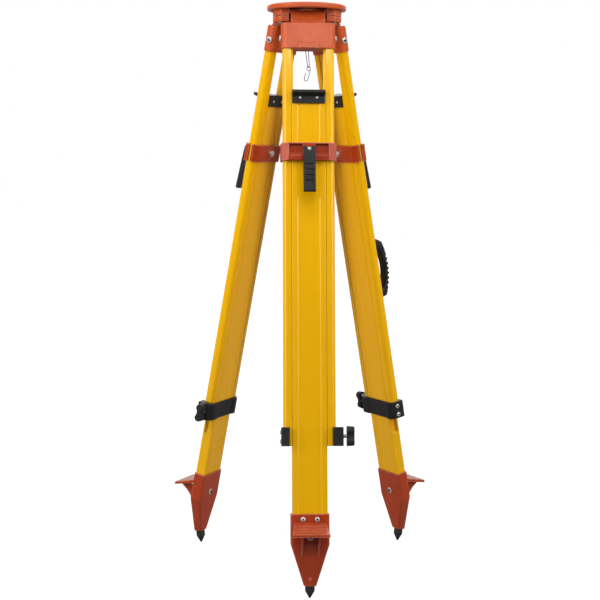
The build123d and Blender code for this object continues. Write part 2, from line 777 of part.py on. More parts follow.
# Carry handle: a bowed grip, grooved on its outer side, on a base strip
with BuildPart() as carry_handle:
    with BuildSketch(Plane.YZ.offset(-handle_width / 2)) as handle_side:
        with BuildLine():
            top, mid, low = [(-out, -at) for out, at in handle_bow]
            bow = ThreePointArc(top, mid, low)
            Polyline(low, (-panel_face, -handle_feet_at[1]), (-panel_face, -handle_feet_at[0]), top)
        make_face()
        fillet(handle_side.vertices().sort_by(Axis.X)[:2], handle_corner)
        with BuildLine():
            gap_top, gap_mid, gap_low = [(-out, -at) for out, at in handle_gap]
            gap_feet = [(-panel_face - handle_base, -at) for at in handle_gap_feet_at]
            ThreePointArc(gap_top, gap_mid, gap_low)
            Polyline(gap_low, gap_feet[1], gap_feet[0], gap_top)
        make_face(mode=Mode.SUBTRACT)
        groove_step = (handle_grooved[1] - handle_grooved[0]) / (handle_grooves - 1)
        for groove in range(handle_grooves):
            with Locations(bow @ (handle_grooved[0] + groove * groove_step)):
                Circle(handle_groove_radius, mode=Mode.SUBTRACT)
    extrude(amount=handle_width)
    with BuildSketch(Plane.XZ.offset(panel_face)):
        with Locations((0, -(handle_top_at + handle_bottom_at) / 2)):
            SlotOverall(handle_bottom_at - handle_top_at, handle_width, rotation=90)
    extrude(amount=handle_base)
    for screw_at in handle_screws_at:
        with Locations(facing(0, -panel_face - handle_base, screw_at, "-Y")):
            Cylinder(handle_screw_shank + fit_gap, 2 * handle_base, mode=Mode.SUBTRACT)

handle_screw = pan_bolt(*handle_screw_head, handle_screw_shank, handle_base)
with BuildPart() as handle_leg_fasteners:
    add(lower_fasteners.part)
    for screw_at in handle_screws_at:
        with Locations(facing(0, -panel_face - handle_base, screw_at, "-Y")):
            add(handle_screw)

# Head: a round plate with an opening for the screw and three upper halves of the hinge clamps
pin_spots = [
    Location((0, 0, 0), (0, 0, leg_turn * leg)) * Location((0, -hinge_radius, -hinge_drop), (0, 90, 0))
    for leg in range(3)
]
with BuildPart() as head_plate:
    with BuildSketch(Plane.XY.offset(-head_thickness)):
        Circle(head_radius)
    extrude(amount=head_thickness)
    fillet(head_plate.faces().sort_by(Axis.Z)[-1].edges(), rim_round)
    chamfer(head_plate.faces().sort_by(Axis.Z)[0].edges(), rim_chamfer)
    with BuildSketch(Plane.XY.offset(-head_thickness)):
        Circle(head_radius - rim_width)
        Circle(opening_radius + opening_wall, mode=Mode.SUBTRACT)
    extrude(amount=head_thickness - head_web, mode=Mode.SUBTRACT)
    with BuildSketch(Plane.XY.offset(split_gap / 2 - hinge_drop)):
        with PolarLocations(0, 3, start_angle=block_first_angle):
            Polygon(*block_outline, align=None)
    extrude(amount=hinge_drop - split_gap / 2 - head_web)
    with BuildSketch(Plane.XY.offset(-head_thickness)):
        Circle(opening_radius)
    extrude(amount=head_thickness, mode=Mode.SUBTRACT)
    with Locations(*pin_spots):
        Cylinder(pin_radius + fit_gap, pin_length + 2 * pin_play, mode=Mode.SUBTRACT)
    with Locations((0, 0, -hinge_drop)):
        with PolarLocations(bolt_circle, 3, start_angle=block_first_angle):
            Cylinder(hinge_bolt_radius + fit_gap, 2 * hinge_bolt_depth, mode=Mode.SUBTRACT)
    with Locations((0, arm_pivot, -head_thickness)):
        Cylinder(arm_screw_radius + fit_gap, 2 * arm_screw_depth, mode=Mode.SUBTRACT)

with BuildPart() as hinge_caps:
    with BuildSketch(Plane.XY.offset(-block_bottom)):
        with PolarLocations(0, 3, start_angle=block_first_angle):
            Polygon(*block_outline, align=None)
    extrude(amount=block_bottom - hinge_drop - split_gap / 2)
    chamfer(hinge_caps.faces().group_by(Axis.Z)[0].edges(), cap_chamfer)
    with Locations(*pin_spots):
        Cylinder(pin_radius + fit_gap, pin_length + 2 * pin_play, mode=Mode.SUBTRACT)
    with Locations((0, 0, -hinge_drop)):
        with PolarLocations(bolt_circle, 3, start_angle=block_first_angle):
            Cylinder(hinge_bolt_radius + fit_gap, 2 * hinge_bolt_depth, mode=Mode.SUBTRACT)

with BuildPart() as hinge_pins:
    with Locations(*pin_spots):
        Cylinder(pin_radius, pin_length)

cap_bolt = pan_bolt(*hinge_bolt_head, hinge_bolt_radius, hinge_bolt_length)
with BuildPart() as hinge_bolts:
    with Locations(Location((0, 0, -block_bottom), (180, 0, 0))):
        with PolarLocations(bolt_circle, 3, start_angle=-block_first_angle):
            add(cap_bolt)

# Swing arm under the head, and the shoulder screw that it turns on
arm_bottom = arm_top - arm_thickness
with BuildPart() as screw_arm:
    with BuildSketch(Plane.XY.offset(arm_bottom)):
        with Locations((0, arm_pivot)):
            Circle(arm_ends[0])
        Circle(arm_ends[1])
        make_hull()
        Circle(shank_radius + fit_gap, mode=Mode.SUBTRACT)
        with Locations((0, arm_pivot)):
            Circle(arm_pivot_radius + fit_gap, mode=Mode.SUBTRACT)
    extrude(amount=arm_thickness)
    fillet(screw_arm.faces().sort_by(Axis.Z)[0].outer_wire().edges(), arm_round)

with BuildPart() as arm_screw:
    with BuildSketch(Plane.XZ.offset(-arm_pivot)):
        with BuildLine():
            Polyline(
                (0, arm_screw_top),
                (arm_screw_radius, arm_screw_top),
                (arm_screw_radius, -head_thickness),
                (arm_pivot_radius, -head_thickness),
                (arm_pivot_radius, arm_bottom - arm_play),
                (arm_screw_head[0], arm_bottom - arm_play),
                (arm_screw_head[0], arm_bottom - arm_screw_head[1]),
                (0, arm_bottom - arm_screw_head[2]),
                close=True,
            )
        make_face()
    revolve(axis=Axis((0, arm_pivot, 0), (0, 0, 1)))

# Instrument screw with its retaining ring and fluted knob
stem_end = knob_bottom - stem_proud
with BuildPart() as screw_ring:
    with BuildSketch(Plane.XY.offset(arm_top + ring_play)):
        Circle(ring_radius)
        Circle(shank_radius + fit_gap, mode=Mode.SUBTRACT)
    extrude(amount=ring_height)
    chamfer(screw_ring.faces().sort_by(Axis.Z)[-1].edges(), ring_chamfer)

with BuildPart() as instrument_screw:
    with BuildSketch(Plane.XZ):
        with BuildLine():
            Polyline(
                (0, screw_top),
                (screw_radius - screw_chamfer, screw_top),
                (screw_radius, screw_top - screw_chamfer),
                (screw_radius, thread_end),
                (shank_radius, thread_end),
                (shank_radius, knob_top - shank_depth),
                (stem_radius, knob_top - shank_depth),
                (stem_radius, stem_end),
                (0, stem_end),
                close=True,
            )
        make_face()
    revolve(axis=Axis.Z)
    with BuildSketch(Plane.XY.offset(stem_end)):
        Rectangle(*tail_section, rotation=link_angle)
    extrude(amount=hook_pivot - tail_below - stem_end)
    with Locations(Location((0, 0, hook_pivot), (0, 0, link_angle)) * Location((0, 0, 0), (0, 90, 0))):
        Cylinder(wire_radius + wire_play, 2 * stem_radius, mode=Mode.SUBTRACT)

with BuildPart() as screw_knob:
    with BuildSketch(Plane.XY.offset(knob_bottom)):
        Circle(screw_knob_radius)
        with PolarLocations(screw_knob_radius + flute_offset, knob_flutes):
            Circle(flute_radius, mode=Mode.SUBTRACT)
    extrude(amount=knob_top - knob_bottom)
    chamfer(screw_knob.faces().sort_by(Axis.Z)[0].edges(), screw_knob_chamfer)
    chamfer(screw_knob.faces().sort_by(Axis.Z)[-1].edges(), screw_knob_chamfer)
    with Locations((0, 0, knob_top)):
        Cylinder(shank_radius + fit_gap, 2 * shank_depth, mode=Mode.SUBTRACT)
    with Locations((0, 0, (knob_top + knob_bottom) / 2)):
        Cylinder(stem_radius + fit_gap, 2 * (knob_top - knob_bottom), mode=Mode.SUBTRACT)

# Plumb hook: a leaning wire link through the screw's tail, and a hook whose eye hangs in the link
link_plane = upright_plane((0, 0, hook_pivot), link_angle)
with BuildPart() as plumb_link:
    with BuildLine(link_plane) as link_line:
        FilletPolyline(
            (link_split / 2, 0),
            (link_width / 2, 0),
            (link_lean + link_foot / 2, -link_drop),
            (link_lean - link_foot / 2, -link_drop),
            (-link_width / 2, 0),
            (-link_split / 2, 0),
            radius=link_bend,
        )
    with BuildSketch(Plane(link_line.line @ 0, z_dir=link_line.line % 0)):
        Circle(wire_radius)
    sweep(path=link_line.line)

eye_height = hook_pivot - link_drop + 2 * wire_radius + hook_play - eye_bend
hook_plane = upright_plane(link_lean * level_vector(link_angle) + Vector(0, 0, eye_height), hook_angle)
with BuildPart() as plumb_hook:
    with BuildLine(hook_plane) as hook_line:
        bend_x = -eye_bend - hook_bend
        tip = (bend_x - hook_bend, hook_tip - hook_shank)
        Line(tip, (tip[0], -hook_shank))
        CenterArc((bend_x, -hook_shank), hook_bend, 180, 180)
        Line((-eye_bend, -hook_shank), (-eye_bend, 0))
        CenterArc((0, 0), eye_bend, 180, -eye_sweep)
    with BuildSketch(Plane(hook_line.line @ 0, z_dir=hook_line.line % 0)):
        Circle(wire_radius)
    sweep(path=hook_line.line)

# Pieces of each leg and of the head, by name
leg_pieces = {
    "leg_casting": leg_casting,
    "left_rail": left_rail,
    "right_rail": right_rail,
    "upper_fasteners": upper_fasteners,
    "lower_clamp": lower_clamp,
    "thumb_stud": thumb_stud,
    "thumb_knob": thumb_knob,
    "lower_leg": lower_leg,
    "end_cap": end_cap,
    "front_yoke": front_yoke,
    "back_yoke": back_yoke,
    "draw_bolt": draw_bolt,
    "clamp_lever": clamp_lever,
    "shoe": shoe,
    "point": point,
}
head_pieces = {
    "head_plate": head_plate,
    "hinge_caps": hinge_caps,
    "hinge_pins": hinge_pins,
    "hinge_bolts": hinge_bolts,
    "screw_arm": screw_arm,
    "arm_screw": arm_screw,
    "screw_ring": screw_ring,
    "instrument_screw": instrument_screw,
    "screw_knob": screw_knob,
    "plumb_link": plumb_link,
    "plumb_hook": plumb_hook,
}
os.makedirs("parts", exist_ok=True)


def write(piece, name):
    """Label one piece and write it as a file of its own."""
    piece.label = name
    export_step(piece, f"parts/{name}.step")


for name, piece in head_pieces.items():
    write(piece.part, name)

for leg, side in enumerate(("front", "right", "left")):
    place = (
        Location((0, 0, 0), (0, 0, leg_turn * leg))
        * Location((0, -hinge_radius, -hinge_drop), (-spread, 0, 0))
        * Location((0, -hinge_inset, 0))
    )
    for name, piece in leg_pieces.items():
        write(place * piece.part, f"{side}_{name}")
    if side == "right":
        write(place * carry_handle.part, "carry_handle")
        write(place * handle_leg_fasteners.part, f"{side}_lower_fasteners")
    else:
        write(place * lower_fasteners.part, f"{side}_lower_fasteners")
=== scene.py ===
from collections import namedtuple
from math import atan2, cos, degrees, hypot, pi, radians, sin, sqrt
import bmesh
import bpy
from mathutils import Matrix, Vector


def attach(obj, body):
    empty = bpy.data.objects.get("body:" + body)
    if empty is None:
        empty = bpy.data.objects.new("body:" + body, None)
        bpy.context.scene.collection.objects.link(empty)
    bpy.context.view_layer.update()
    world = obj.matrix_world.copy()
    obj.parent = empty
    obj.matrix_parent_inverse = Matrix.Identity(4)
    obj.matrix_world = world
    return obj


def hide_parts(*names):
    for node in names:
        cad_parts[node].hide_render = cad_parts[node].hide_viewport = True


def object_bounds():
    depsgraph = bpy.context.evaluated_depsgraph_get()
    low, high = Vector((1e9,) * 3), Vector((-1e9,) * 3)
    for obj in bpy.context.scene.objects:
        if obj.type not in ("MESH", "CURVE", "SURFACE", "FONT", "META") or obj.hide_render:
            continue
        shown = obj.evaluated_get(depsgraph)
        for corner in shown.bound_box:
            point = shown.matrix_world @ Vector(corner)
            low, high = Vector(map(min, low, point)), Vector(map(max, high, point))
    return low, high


# The solids of a surveying tripod, dressed with finishes and finer pieces, and shown in a white studio
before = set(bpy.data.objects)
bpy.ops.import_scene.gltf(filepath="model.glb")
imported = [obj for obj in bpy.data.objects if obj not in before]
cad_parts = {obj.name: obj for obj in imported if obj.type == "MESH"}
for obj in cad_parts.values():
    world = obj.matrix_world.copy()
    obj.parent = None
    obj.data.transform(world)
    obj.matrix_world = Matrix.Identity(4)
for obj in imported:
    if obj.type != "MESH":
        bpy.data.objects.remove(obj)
cad_low, cad_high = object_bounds()

# Shapes are in millimetres until they are placed; finishes, lamps, camera and floor are in metres
MM = 0.001

# Distance within which points are joined, the least sine or cosine that counts, and a sharp edge in degrees
WELD = 1e-5
TINY = 1e-6
SHARP_ANGLE = 32

# Where each leg stands, as in the solids: turn between legs, hinge circle, drop and inset, and spread
SIDES = ("front", "right", "left")
LEG_TURN = 120
HINGE_RADIUS = 41
HINGE_DROP = 24.5
HINGE_INSET = 7
LEG_SPREAD = 10.9


def leg_place(leg):
    """Leg frame of one leg in metres: X across, -Y outwards, +Z up the leg."""
    return (
        Matrix.Rotation(radians(LEG_TURN * leg), 4, "Z")
        @ Matrix.Translation((0, -HINGE_RADIUS * MM, -HINGE_DROP * MM))
        @ Matrix.Rotation(radians(-LEG_SPREAD), 4, "X")
        @ Matrix.Translation((0, -HINGE_INSET * MM, 0))
    )


def colour(red, green, blue):
    """Linear colour from everyday 0 to 255 values."""
    values = []
    for value in (red, green, blue):
        value /= 255
        values.append(value / 12.92 if value <= 0.04045 else ((value + 0.055) / 1.055) ** 2.4)
    return (*values, 1)


# Nodes of materials and of the world

class Nodes:
    """A node tree, with short ways to add and join nodes."""

    def __init__(self, tree):
        self.tree = tree
        self.tree.nodes.clear()

    def add(self, kind, inputs=None, **settings):
        """New node with its settings and inputs."""
        node = self.tree.nodes.new(kind)
        for name, value in settings.items():
            setattr(node, name, value)
        self.join(node, inputs or {})
        return node

    def join(self, node, inputs):
        """Joins a node's inputs to sockets, or sets them to plain values."""
        for name, value in inputs.items():
            if isinstance(value, bpy.types.NodeSocket):
                self.tree.links.new(value, node.inputs[name])
            else:
                node.inputs[name].default_value = value

    def maths(self, operation, first, second=0.0):
        """Result of one sum, from sockets or plain values."""
        return self.add("ShaderNodeMath", {0: first, 1: second}, operation=operation).outputs[0]

    def spread(self, value, between, to=(0, 1)):
        """Goes from one level to another while a value goes between two limits."""
        levels = {"From Min": between[0], "From Max": between[1], "To Min": to[0], "To Max": to[1]}
        return self.add("ShaderNodeMapRange", {"Value": value, **levels}).outputs["Result"]

    def shown(self, reflected):
        """1 for what the camera sees, also through clear things, and a level for reflections."""
        path = self.add("ShaderNodeLightPath").outputs
        mirrored = self.maths("MULTIPLY", path["Is Glossy Ray"], reflected)
        direct = self.maths("MAXIMUM", path["Is Camera Ray"], path["Is Transmission Ray"])
        return self.maths("MAXIMUM", direct, mirrored)


class Shader(Nodes):
    """The nodes of one material: a surface, its output, and patterns that lie on the object."""

    # Samples of the edge mask (worn edges and painted highlights) and of the painted-shade mask of gaps,
    # and the openness between which each mask goes from none to full
    SAMPLES = 4
    WEAR_AND_HIGHLIGHT = (0.92, 0.55)
    SHADED = (0.85, 0.25)

    def __init__(self, name):
        self.material = bpy.data.materials.new(name)
        self.material.use_nodes = True
        super().__init__(self.material.node_tree)
        self.surface = self.add("ShaderNodeBsdfPrincipled")
        self.output = self.add("ShaderNodeOutputMaterial", {"Surface": self.surface.outputs["BSDF"]})
        self.object = self.add("ShaderNodeTexCoord").outputs["Object"]

    def finish(self, **inputs):
        """Sets the surface's inputs, whose names have underscores for spaces, and gives the material."""
        self.join(self.surface, {name.replace("_", " "): value for name, value in inputs.items()})
        return self.material

    def in_frame(self, place, stretch):
        """Object coordinates seen in another frame, stretched along its axes."""
        seen = self.add(
            "ShaderNodeMapping",
            {"Vector": self.object, "Location": place.to_translation(), "Rotation": place.to_euler()},
            vector_type="TEXTURE",
        )
        stretched = {0: seen.outputs[0], 1: stretch}
        return self.add("ShaderNodeVectorMath", stretched, operation="MULTIPLY").outputs[0]

    def noise(self, scale=1, detail=3, roughness=0.5, vector=None):
        """Cloudy pattern on the object, or along another vector."""
        values = {"Scale": scale, "Detail": detail, "Roughness": roughness}
        return self.add("ShaderNodeTexNoise", {"Vector": vector or self.object, **values}).outputs["Fac"]

    def mix(self, share, first, second):
        """From a first to a second colour; inputs 6 and 7 and output 2 are the node's colours."""
        node = self.add("ShaderNodeMix", data_type="RGBA", blend_type="MIX")
        self.join(node, {0: share, 6: first, 7: second})
        return node.outputs[2]

    def part(self, mask, share):
        """A mask at a share of its strength."""
        return self.maths("MULTIPLY", mask, share)

    def rounded(self, radius):
        """Normal with softened edges, and a mask of the edges that stand out, worn on some finishes and a
        painted highlight on others.
        """
        soft = self.add("ShaderNodeBevel", {"Radius": radius}, samples=self.SAMPLES).outputs[0]
        within = self.add(
            "ShaderNodeAmbientOcclusion",
            {"Distance": radius},
            samples=self.SAMPLES,
            inside=True,
            only_local=True,
        )
        return soft, self.spread(within.outputs["AO"], self.WEAR_AND_HIGHLIGHT)

    def crevice_shade(self, reach, share):
        """Mask of painted shade in the gaps and corners, where the surroundings close in, up to a share."""
        around = self.add("ShaderNodeAmbientOcclusion", {"Distance": reach}, samples=self.SAMPLES)
        return self.spread(around.outputs["AO"], self.SHADED, to=(0, share))

    def bump(self, height, distance, normal):
        """Normal with a pattern of heights on it, up to a distance."""
        values = {"Height": height, "Distance": distance, "Strength": 1.0, "Normal": normal}
        return self.add("ShaderNodeBump", values).outputs[0]


# Range of a noise that holds most of its values
MIDDLE = (0.3, 0.7)

# Orange enamel
ENAMEL_PIT = colour(140, 46, 18)
# Lighter edges, partly thin paint and partly a painted highlight
ENAMEL_THIN_AND_HIGHLIGHT = colour(236, 150, 120)
# Painted shade laid into the enamel's gaps, corners and undersides
ENAMEL_SHADE = colour(86, 26, 10)


def painted_casting(name, deep, light, gloss, pebble_height, pitting, wear_and_highlight):
    """Orange enamel on rough castings: cloudy colour, a pebbled skin, edges lighter as thin paint and as a
    painted highlight, and painted shade in gaps and corners.
    """
    look = Shader(name)
    soft, edge = look.rounded(radius=0.0021)
    cloud = look.noise(scale=22, detail=4, roughness=0.6)
    pebbles = look.noise(scale=330, roughness=0.6)
    orange_peel = look.noise(scale=900, detail=2, roughness=0.55)
    patches = look.spread(look.noise(scale=160), between=(0.4, 0.65), to=wear_and_highlight)
    base = look.mix(look.spread(cloud, MIDDLE), deep, light)
    base = look.mix(look.spread(pebbles, between=(0.55, 0.75), to=(0, pitting)), base, ENAMEL_PIT)
    # Edges lighter: thin paint and a painted highlight
    base = look.mix(look.part(edge, share=patches), base, ENAMEL_THIN_AND_HIGHLIGHT)
    # Painted shade: the enamel darkens in gaps, corners and under parts
    base = look.mix(look.crevice_shade(reach=0.010, share=0.6), base, ENAMEL_SHADE)
    rough = look.spread(look.noise(scale=90), MIDDLE, to=gloss)
    normal = look.bump(orange_peel, distance=0.00002, normal=soft)
    normal = look.bump(pebbles, distance=pebble_height, normal=normal)
    return look.finish(Base_Color=base, Roughness=rough, Normal=normal, Specular_IOR_Level=0.4)


# Yellow fibreglass: patterns drawn out along the leg, how strongly the fibres show, and its colours
FIBRE_STRETCH = (900, 900, 9)
BAND_STRETCH = (110, 110, 1.6)
FIBRE_SHOW = 0.08
BAND_DEEP = colour(233, 173, 0)
BAND_LIGHT = colour(238, 180, 1)
YELLOW_CLOUD = colour(228, 164, 0)
FIBRE_DEEP = colour(206, 142, 0)
FIBRE_LIGHT = colour(248, 200, 30)
# Paler edges, partly rubbed gel coat and partly a painted highlight
YELLOW_RUBBED_AND_HIGHLIGHT = colour(248, 204, 60)
# Painted shade for the fibreglass's gaps and corners
YELLOW_SHADE = colour(122, 62, 0)


def fibreglass(name, leg):
    """Yellow pultruded fibreglass: fine fibres and faint bands along the leg under a glossy skin."""
    look = Shader(name)
    soft, edge = look.rounded(radius=0.0010)
    along_fibres = look.in_frame(leg_place(leg), FIBRE_STRETCH)
    along_bands = look.in_frame(leg_place(leg), BAND_STRETCH)
    fibres = look.noise(detail=4, roughness=0.65, vector=along_fibres)
    bands = look.noise(vector=along_bands)
    cloud = look.noise(scale=7)
    base = look.mix(look.spread(bands, MIDDLE), BAND_DEEP, BAND_LIGHT)
    base = look.mix(look.spread(cloud, MIDDLE, to=(0, 0.3)), base, YELLOW_CLOUD)
    base = look.mix(look.spread(fibres, between=(0.52, 0.75), to=(0, FIBRE_SHOW)), base, FIBRE_DEEP)
    base = look.mix(look.spread(fibres, between=(0.45, 0.25), to=(0, FIBRE_SHOW)), base, FIBRE_LIGHT)
    # Edges paler: rubbing and a painted highlight
    base = look.mix(look.part(edge, share=0.3), base, YELLOW_RUBBED_AND_HIGHLIGHT)
    # Painted shade: darker along the gaps between rails and leg and under parts
    base = look.mix(look.crevice_shade(reach=0.002, share=0.9), base, YELLOW_SHADE)
    rough = look.spread(fibres, MIDDLE, to=(0.13, 0.19))
    normal = look.bump(fibres, distance=0.00002, normal=soft)
    return look.finish(Base_Color=base, Roughness=rough, Normal=normal, Specular_IOR_Level=0.35)


# Black plastic
PLASTIC_DEEP = colour(29, 29, 30)
PLASTIC_LIGHT = colour(39, 39, 40)
PLASTIC_SCUFF = colour(84, 84, 84)


def moulded_plastic(name):
    """Black moulded plastic: fine spark-eroded grain, scuffed grey along its edges."""
    look = Shader(name)
    soft, edge = look.rounded(radius=0.0011)
    cloud = look.noise(scale=35, detail=4, roughness=0.6)
    grain = look.noise(scale=1500, detail=2, roughness=0.6)
    scuffs = look.spread(look.noise(scale=240), between=(0.4, 0.7), to=(0.05, 0.5))
    base = look.mix(look.spread(cloud, MIDDLE), PLASTIC_DEEP, PLASTIC_LIGHT)
    base = look.mix(look.part(edge, share=scuffs), base, PLASTIC_SCUFF)
    rough = look.spread(cloud, MIDDLE, to=(0.40, 0.54))
    normal = look.bump(grain, distance=0.00005, normal=soft)
    return look.finish(Base_Color=base, Roughness=rough, Normal=normal, Specular_IOR_Level=0.22)


# Zinc-plated steel
ZINC_WORN = colour(228, 228, 226)


def plated_steel(name, dull, bright):
    """Zinc-plated steel: spangled grey from dull to bright, with worn bright edges."""
    look = Shader(name)
    soft, edge = look.rounded(radius=0.0004)
    spangle = look.add("ShaderNodeTexVoronoi", {"Vector": look.object, "Scale": 420}).outputs["Distance"]
    cloud = look.noise(scale=160, detail=4, roughness=0.6)
    base = look.mix(look.spread(cloud, MIDDLE), dull, bright)
    base = look.mix(look.part(edge, share=0.5), base, ZINC_WORN)
    rough = look.spread(spangle, between=(0, 0.8), to=(0.32, 0.46))
    normal = look.bump(look.noise(scale=1800, detail=2), distance=0.00002, normal=soft)
    return look.finish(Base_Color=base, Roughness=rough, Metallic=0.4, Normal=normal)


# Blackened steel
STEEL_DEEP = colour(44, 43, 43)
STEEL_LIGHT = colour(74, 72, 70)
STEEL_RUBBED = colour(140, 138, 134)


def forged_point(name):
    """Dark blackened steel with mill scale, rubbed bright along its edges."""
    look = Shader(name)
    soft, edge = look.rounded(radius=0.0009)
    scale = look.noise(scale=230, detail=5, roughness=0.65)
    rubbed = look.spread(scale, between=(0.35, 0.6), to=(0.2, 0.8))
    base = look.mix(look.spread(scale, between=(0.35, 0.65)), STEEL_DEEP, STEEL_LIGHT)
    base = look.mix(look.part(edge, share=rubbed), base, STEEL_RUBBED)
    rough = look.spread(scale, MIDDLE, to=(0.38, 0.58))
    normal = look.bump(scale, distance=0.00016, normal=soft)
    return look.finish(Base_Color=base, Roughness=rough, Metallic=0.7, Normal=normal)


# Turned brass: rings drawn out round the axis, and its colours
RING_STRETCH = (60, 60, 4200)
BRASS_BRIGHT = colour(206, 170, 98)
BRASS_TARNISH = colour(168, 128, 66)
BRASS_RUBBED = colour(232, 206, 146)


def turned_brass(name):
    """Brass with fine turning rings about the head's axis and a slight tarnish."""
    look = Shader(name)
    soft, edge = look.rounded(radius=0.0004)
    along_axis = look.in_frame(Matrix.Identity(4), RING_STRETCH)
    rings = look.noise(detail=2, vector=along_axis)
    tarnish = look.noise(scale=140, detail=4, roughness=0.6)
    base = look.mix(look.spread(tarnish, between=(0.35, 0.7)), BRASS_BRIGHT, BRASS_TARNISH)
    base = look.mix(look.part(edge, share=0.5), base, BRASS_RUBBED)
    rough = look.spread(tarnish, MIDDLE, to=(0.22, 0.36))
    normal = look.bump(rings, distance=0.00003, normal=soft)
    return look.finish(Base_Color=base, Roughness=rough, Metallic=1.0, Normal=normal)


# The materials themselves
orange = painted_casting(
    "orange_casting",
    deep=colour(186, 74, 28),
    light=colour(200, 88, 38),
    gloss=(0.27, 0.38),
    pebble_height=0.0006,
    pitting=0.5,
    wear_and_highlight=(0.3, 0.75),
)
# Deeper, glossier enamel for the yokes and shoes; its darker tone is partly painted shade for the weaker
# light low on the legs
glossy = painted_casting(
    "glossy_casting",
    deep=colour(162, 54, 20),
    light=colour(174, 62, 26),
    gloss=(0.17, 0.25),
    pebble_height=0.00004,
    pitting=0.12,
    wear_and_highlight=(0.45, 0.85),
)
yellow = [fibreglass(f"yellow_{side}", leg) for leg, side in enumerate(SIDES)]
black = moulded_plastic("black_moulding")
zinc = plated_steel("zinc_plate", dull=colour(186, 185, 182), bright=colour(212, 210, 204))
wire = plated_steel("drawn_wire", dull=colour(112, 112, 110), bright=colour(146, 145, 142))
dark = forged_point("dark_point")
brass = turned_brass("turned_brass")

# Finishes of the carried-over nodes, by the end of a node's name
finishes = {
    "head_plate": orange,
    "hinge_caps": orange,
    # Blackened hinge pins, dark partly as painted shade in the gap between block and tongue
    "hinge_pins": dark,
    "plumb_link": wire,
    "plumb_hook": wire,
    "screw_arm": orange,
    "leg_casting": orange,
    "front_yoke": glossy,
    "back_yoke": glossy,
    "shoe": glossy,
    "end_cap": black,
    "lower_clamp": black,
    "thumb_knob": black,
    "clamp_lever": black,
    "carry_handle": black,
    "screw_knob": black,
    "point": dark,
    "screw_ring": brass,
    "instrument_screw": brass,
}


def finish_of(node):
    """Finish of a node: its leg's yellow for rails and lower legs, and zinc where nothing else is named."""
    for leg, side in enumerate(SIDES):
        if node.startswith(side) and node.endswith(("rail", "lower_leg")):
            return yellow[leg]
    for ending, material in finishes.items():
        if node.endswith(ending):
            return material
    return zinc


for name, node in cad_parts.items():
    for material_slot in node.material_slots:
        material_slot.material = finish_of(name)


# Shapes from rings of points

def even_turns(steps):
    """Angles in even steps round a circle."""
    return [2 * pi * k / steps for k in range(steps)]


def polar(radius, angle, level):
    """Point at a radius, an angle and a level about Z."""
    return Vector((radius * cos(angle), radius * sin(angle), level))


def arc(centre, radius, start, sweep, steps=24):
    """Points along a flat arc, from a start angle through a sweep in degrees."""
    angles = [radians(start + sweep * k / steps) for k in range(steps + 1)]
    return [(centre[0] + radius * cos(a), centre[1] + radius * sin(a)) for a in angles]


def box_reach(angle, half, above, below):
    """Distance from a point inside a box to the box's edge at an angle."""
    reaches = []
    if abs(cos(angle)) > TINY:
        reaches.append(half / abs(cos(angle)))
    if sin(angle) > TINY:
        reaches.append(above / sin(angle))
    elif sin(angle) < -TINY:
        reaches.append(-below / sin(angle))
    return min(reaches)


def skin(mesh, rings, closed=True):
    """Quads between rings of points, with the first and last ring closed if asked."""
    loops = [[mesh.verts.new(point) for point in ring] for ring in rings]
    for low, high in zip(loops, loops[1:]):
        count = len(low)
        for k in range(count):
            after = (k + 1) % count
            mesh.faces.new((low[k], low[after], high[after], high[k]))
    if closed:
        mesh.faces.new(reversed(loops[0]))
        mesh.faces.new(loops[-1])


def place_into(mesh, local, place):
    """Moves a small mesh in millimetres to its place in metres and adds it to a larger one."""
    bmesh.ops.recalc_face_normals(local, faces=local.faces)
    local.transform(place @ Matrix.Scale(MM, 4))
    holder = bpy.data.meshes.new("holder")
    local.to_mesh(holder)
    local.free()
    mesh.from_mesh(holder)
    bpy.data.meshes.remove(holder)


def loft(mesh, place, rings):
    """Adds a solid through rings of points at a place."""
    local = bmesh.new()
    skin(local, rings)
    place_into(mesh, local, place)


def lathe(mesh, place, profile, steps=48):
    """Adds a solid of revolution about Z from (radius, level) points, from the bottom up."""
    turns = even_turns(steps)
    loft(mesh, place, [[polar(radius, a, level) for a in turns] for radius, level in profile])


def tube(mesh, place, path, radius, steps=12):
    """Adds a round wire along points, with flat ends."""
    last = len(path) - 1
    side = None
    rings = []
    for k, point in enumerate(path):
        ahead = (path[min(k + 1, last)] - path[max(k - 1, 0)]).normalized()
        if side is None:
            side = ahead.orthogonal()
        side = (side - side.dot(ahead) * ahead).normalized()
        other = ahead.cross(side)
        rings.append([point + radius * (cos(a) * side + sin(a) * other) for a in even_turns(steps)])
    loft(mesh, place, rings)


def piece(name, mesh, materials, body, slot, *nodes):
    """Turns a mesh into a piece that rides on a body and stands for CAD nodes."""
    data = bpy.data.meshes.new(name)
    mesh.to_mesh(data)
    mesh.free()
    for finish in materials:
        data.materials.append(finish)
    for polygon in data.polygons:
        polygon.use_smooth = True
    data.set_sharp_from_angle(angle=radians(SHARP_ANGLE))
    thing = bpy.data.objects.new(name, data)
    bpy.context.scene.collection.objects.link(thing)
    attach(thing, body)
    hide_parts(*nodes)


# Screws: radius and height of the head, radius and length of the shank, and the kind of recess
Fastener = namedtuple("Fastener", "head height shank length recess")
CASTING_BOLT = Fastener(head=6.25, height=4, shank=3, length=24, recess="cross")
CLAMP_BOLT = Fastener(head=4.5, height=2.8, shank=2.5, length=8.5, recess="cross")
CAP_RIVET = Fastener(head=2.6, height=1.6, shank=2, length=2, recess=None)
SHOE_SCREW = Fastener(head=4.6, height=2.4, shank=2, length=2, recess="cross")
SHOE_BOLT = Fastener(head=6.6, height=3.2, shank=4, length=13, recess="hex")
HANDLE_SCREW = Fastener(head=4, height=2.2, shank=2, length=4, recess="cross")
HINGE_BOLT = Fastener(head=5.8, height=4, shank=3, length=20, recess="hex")

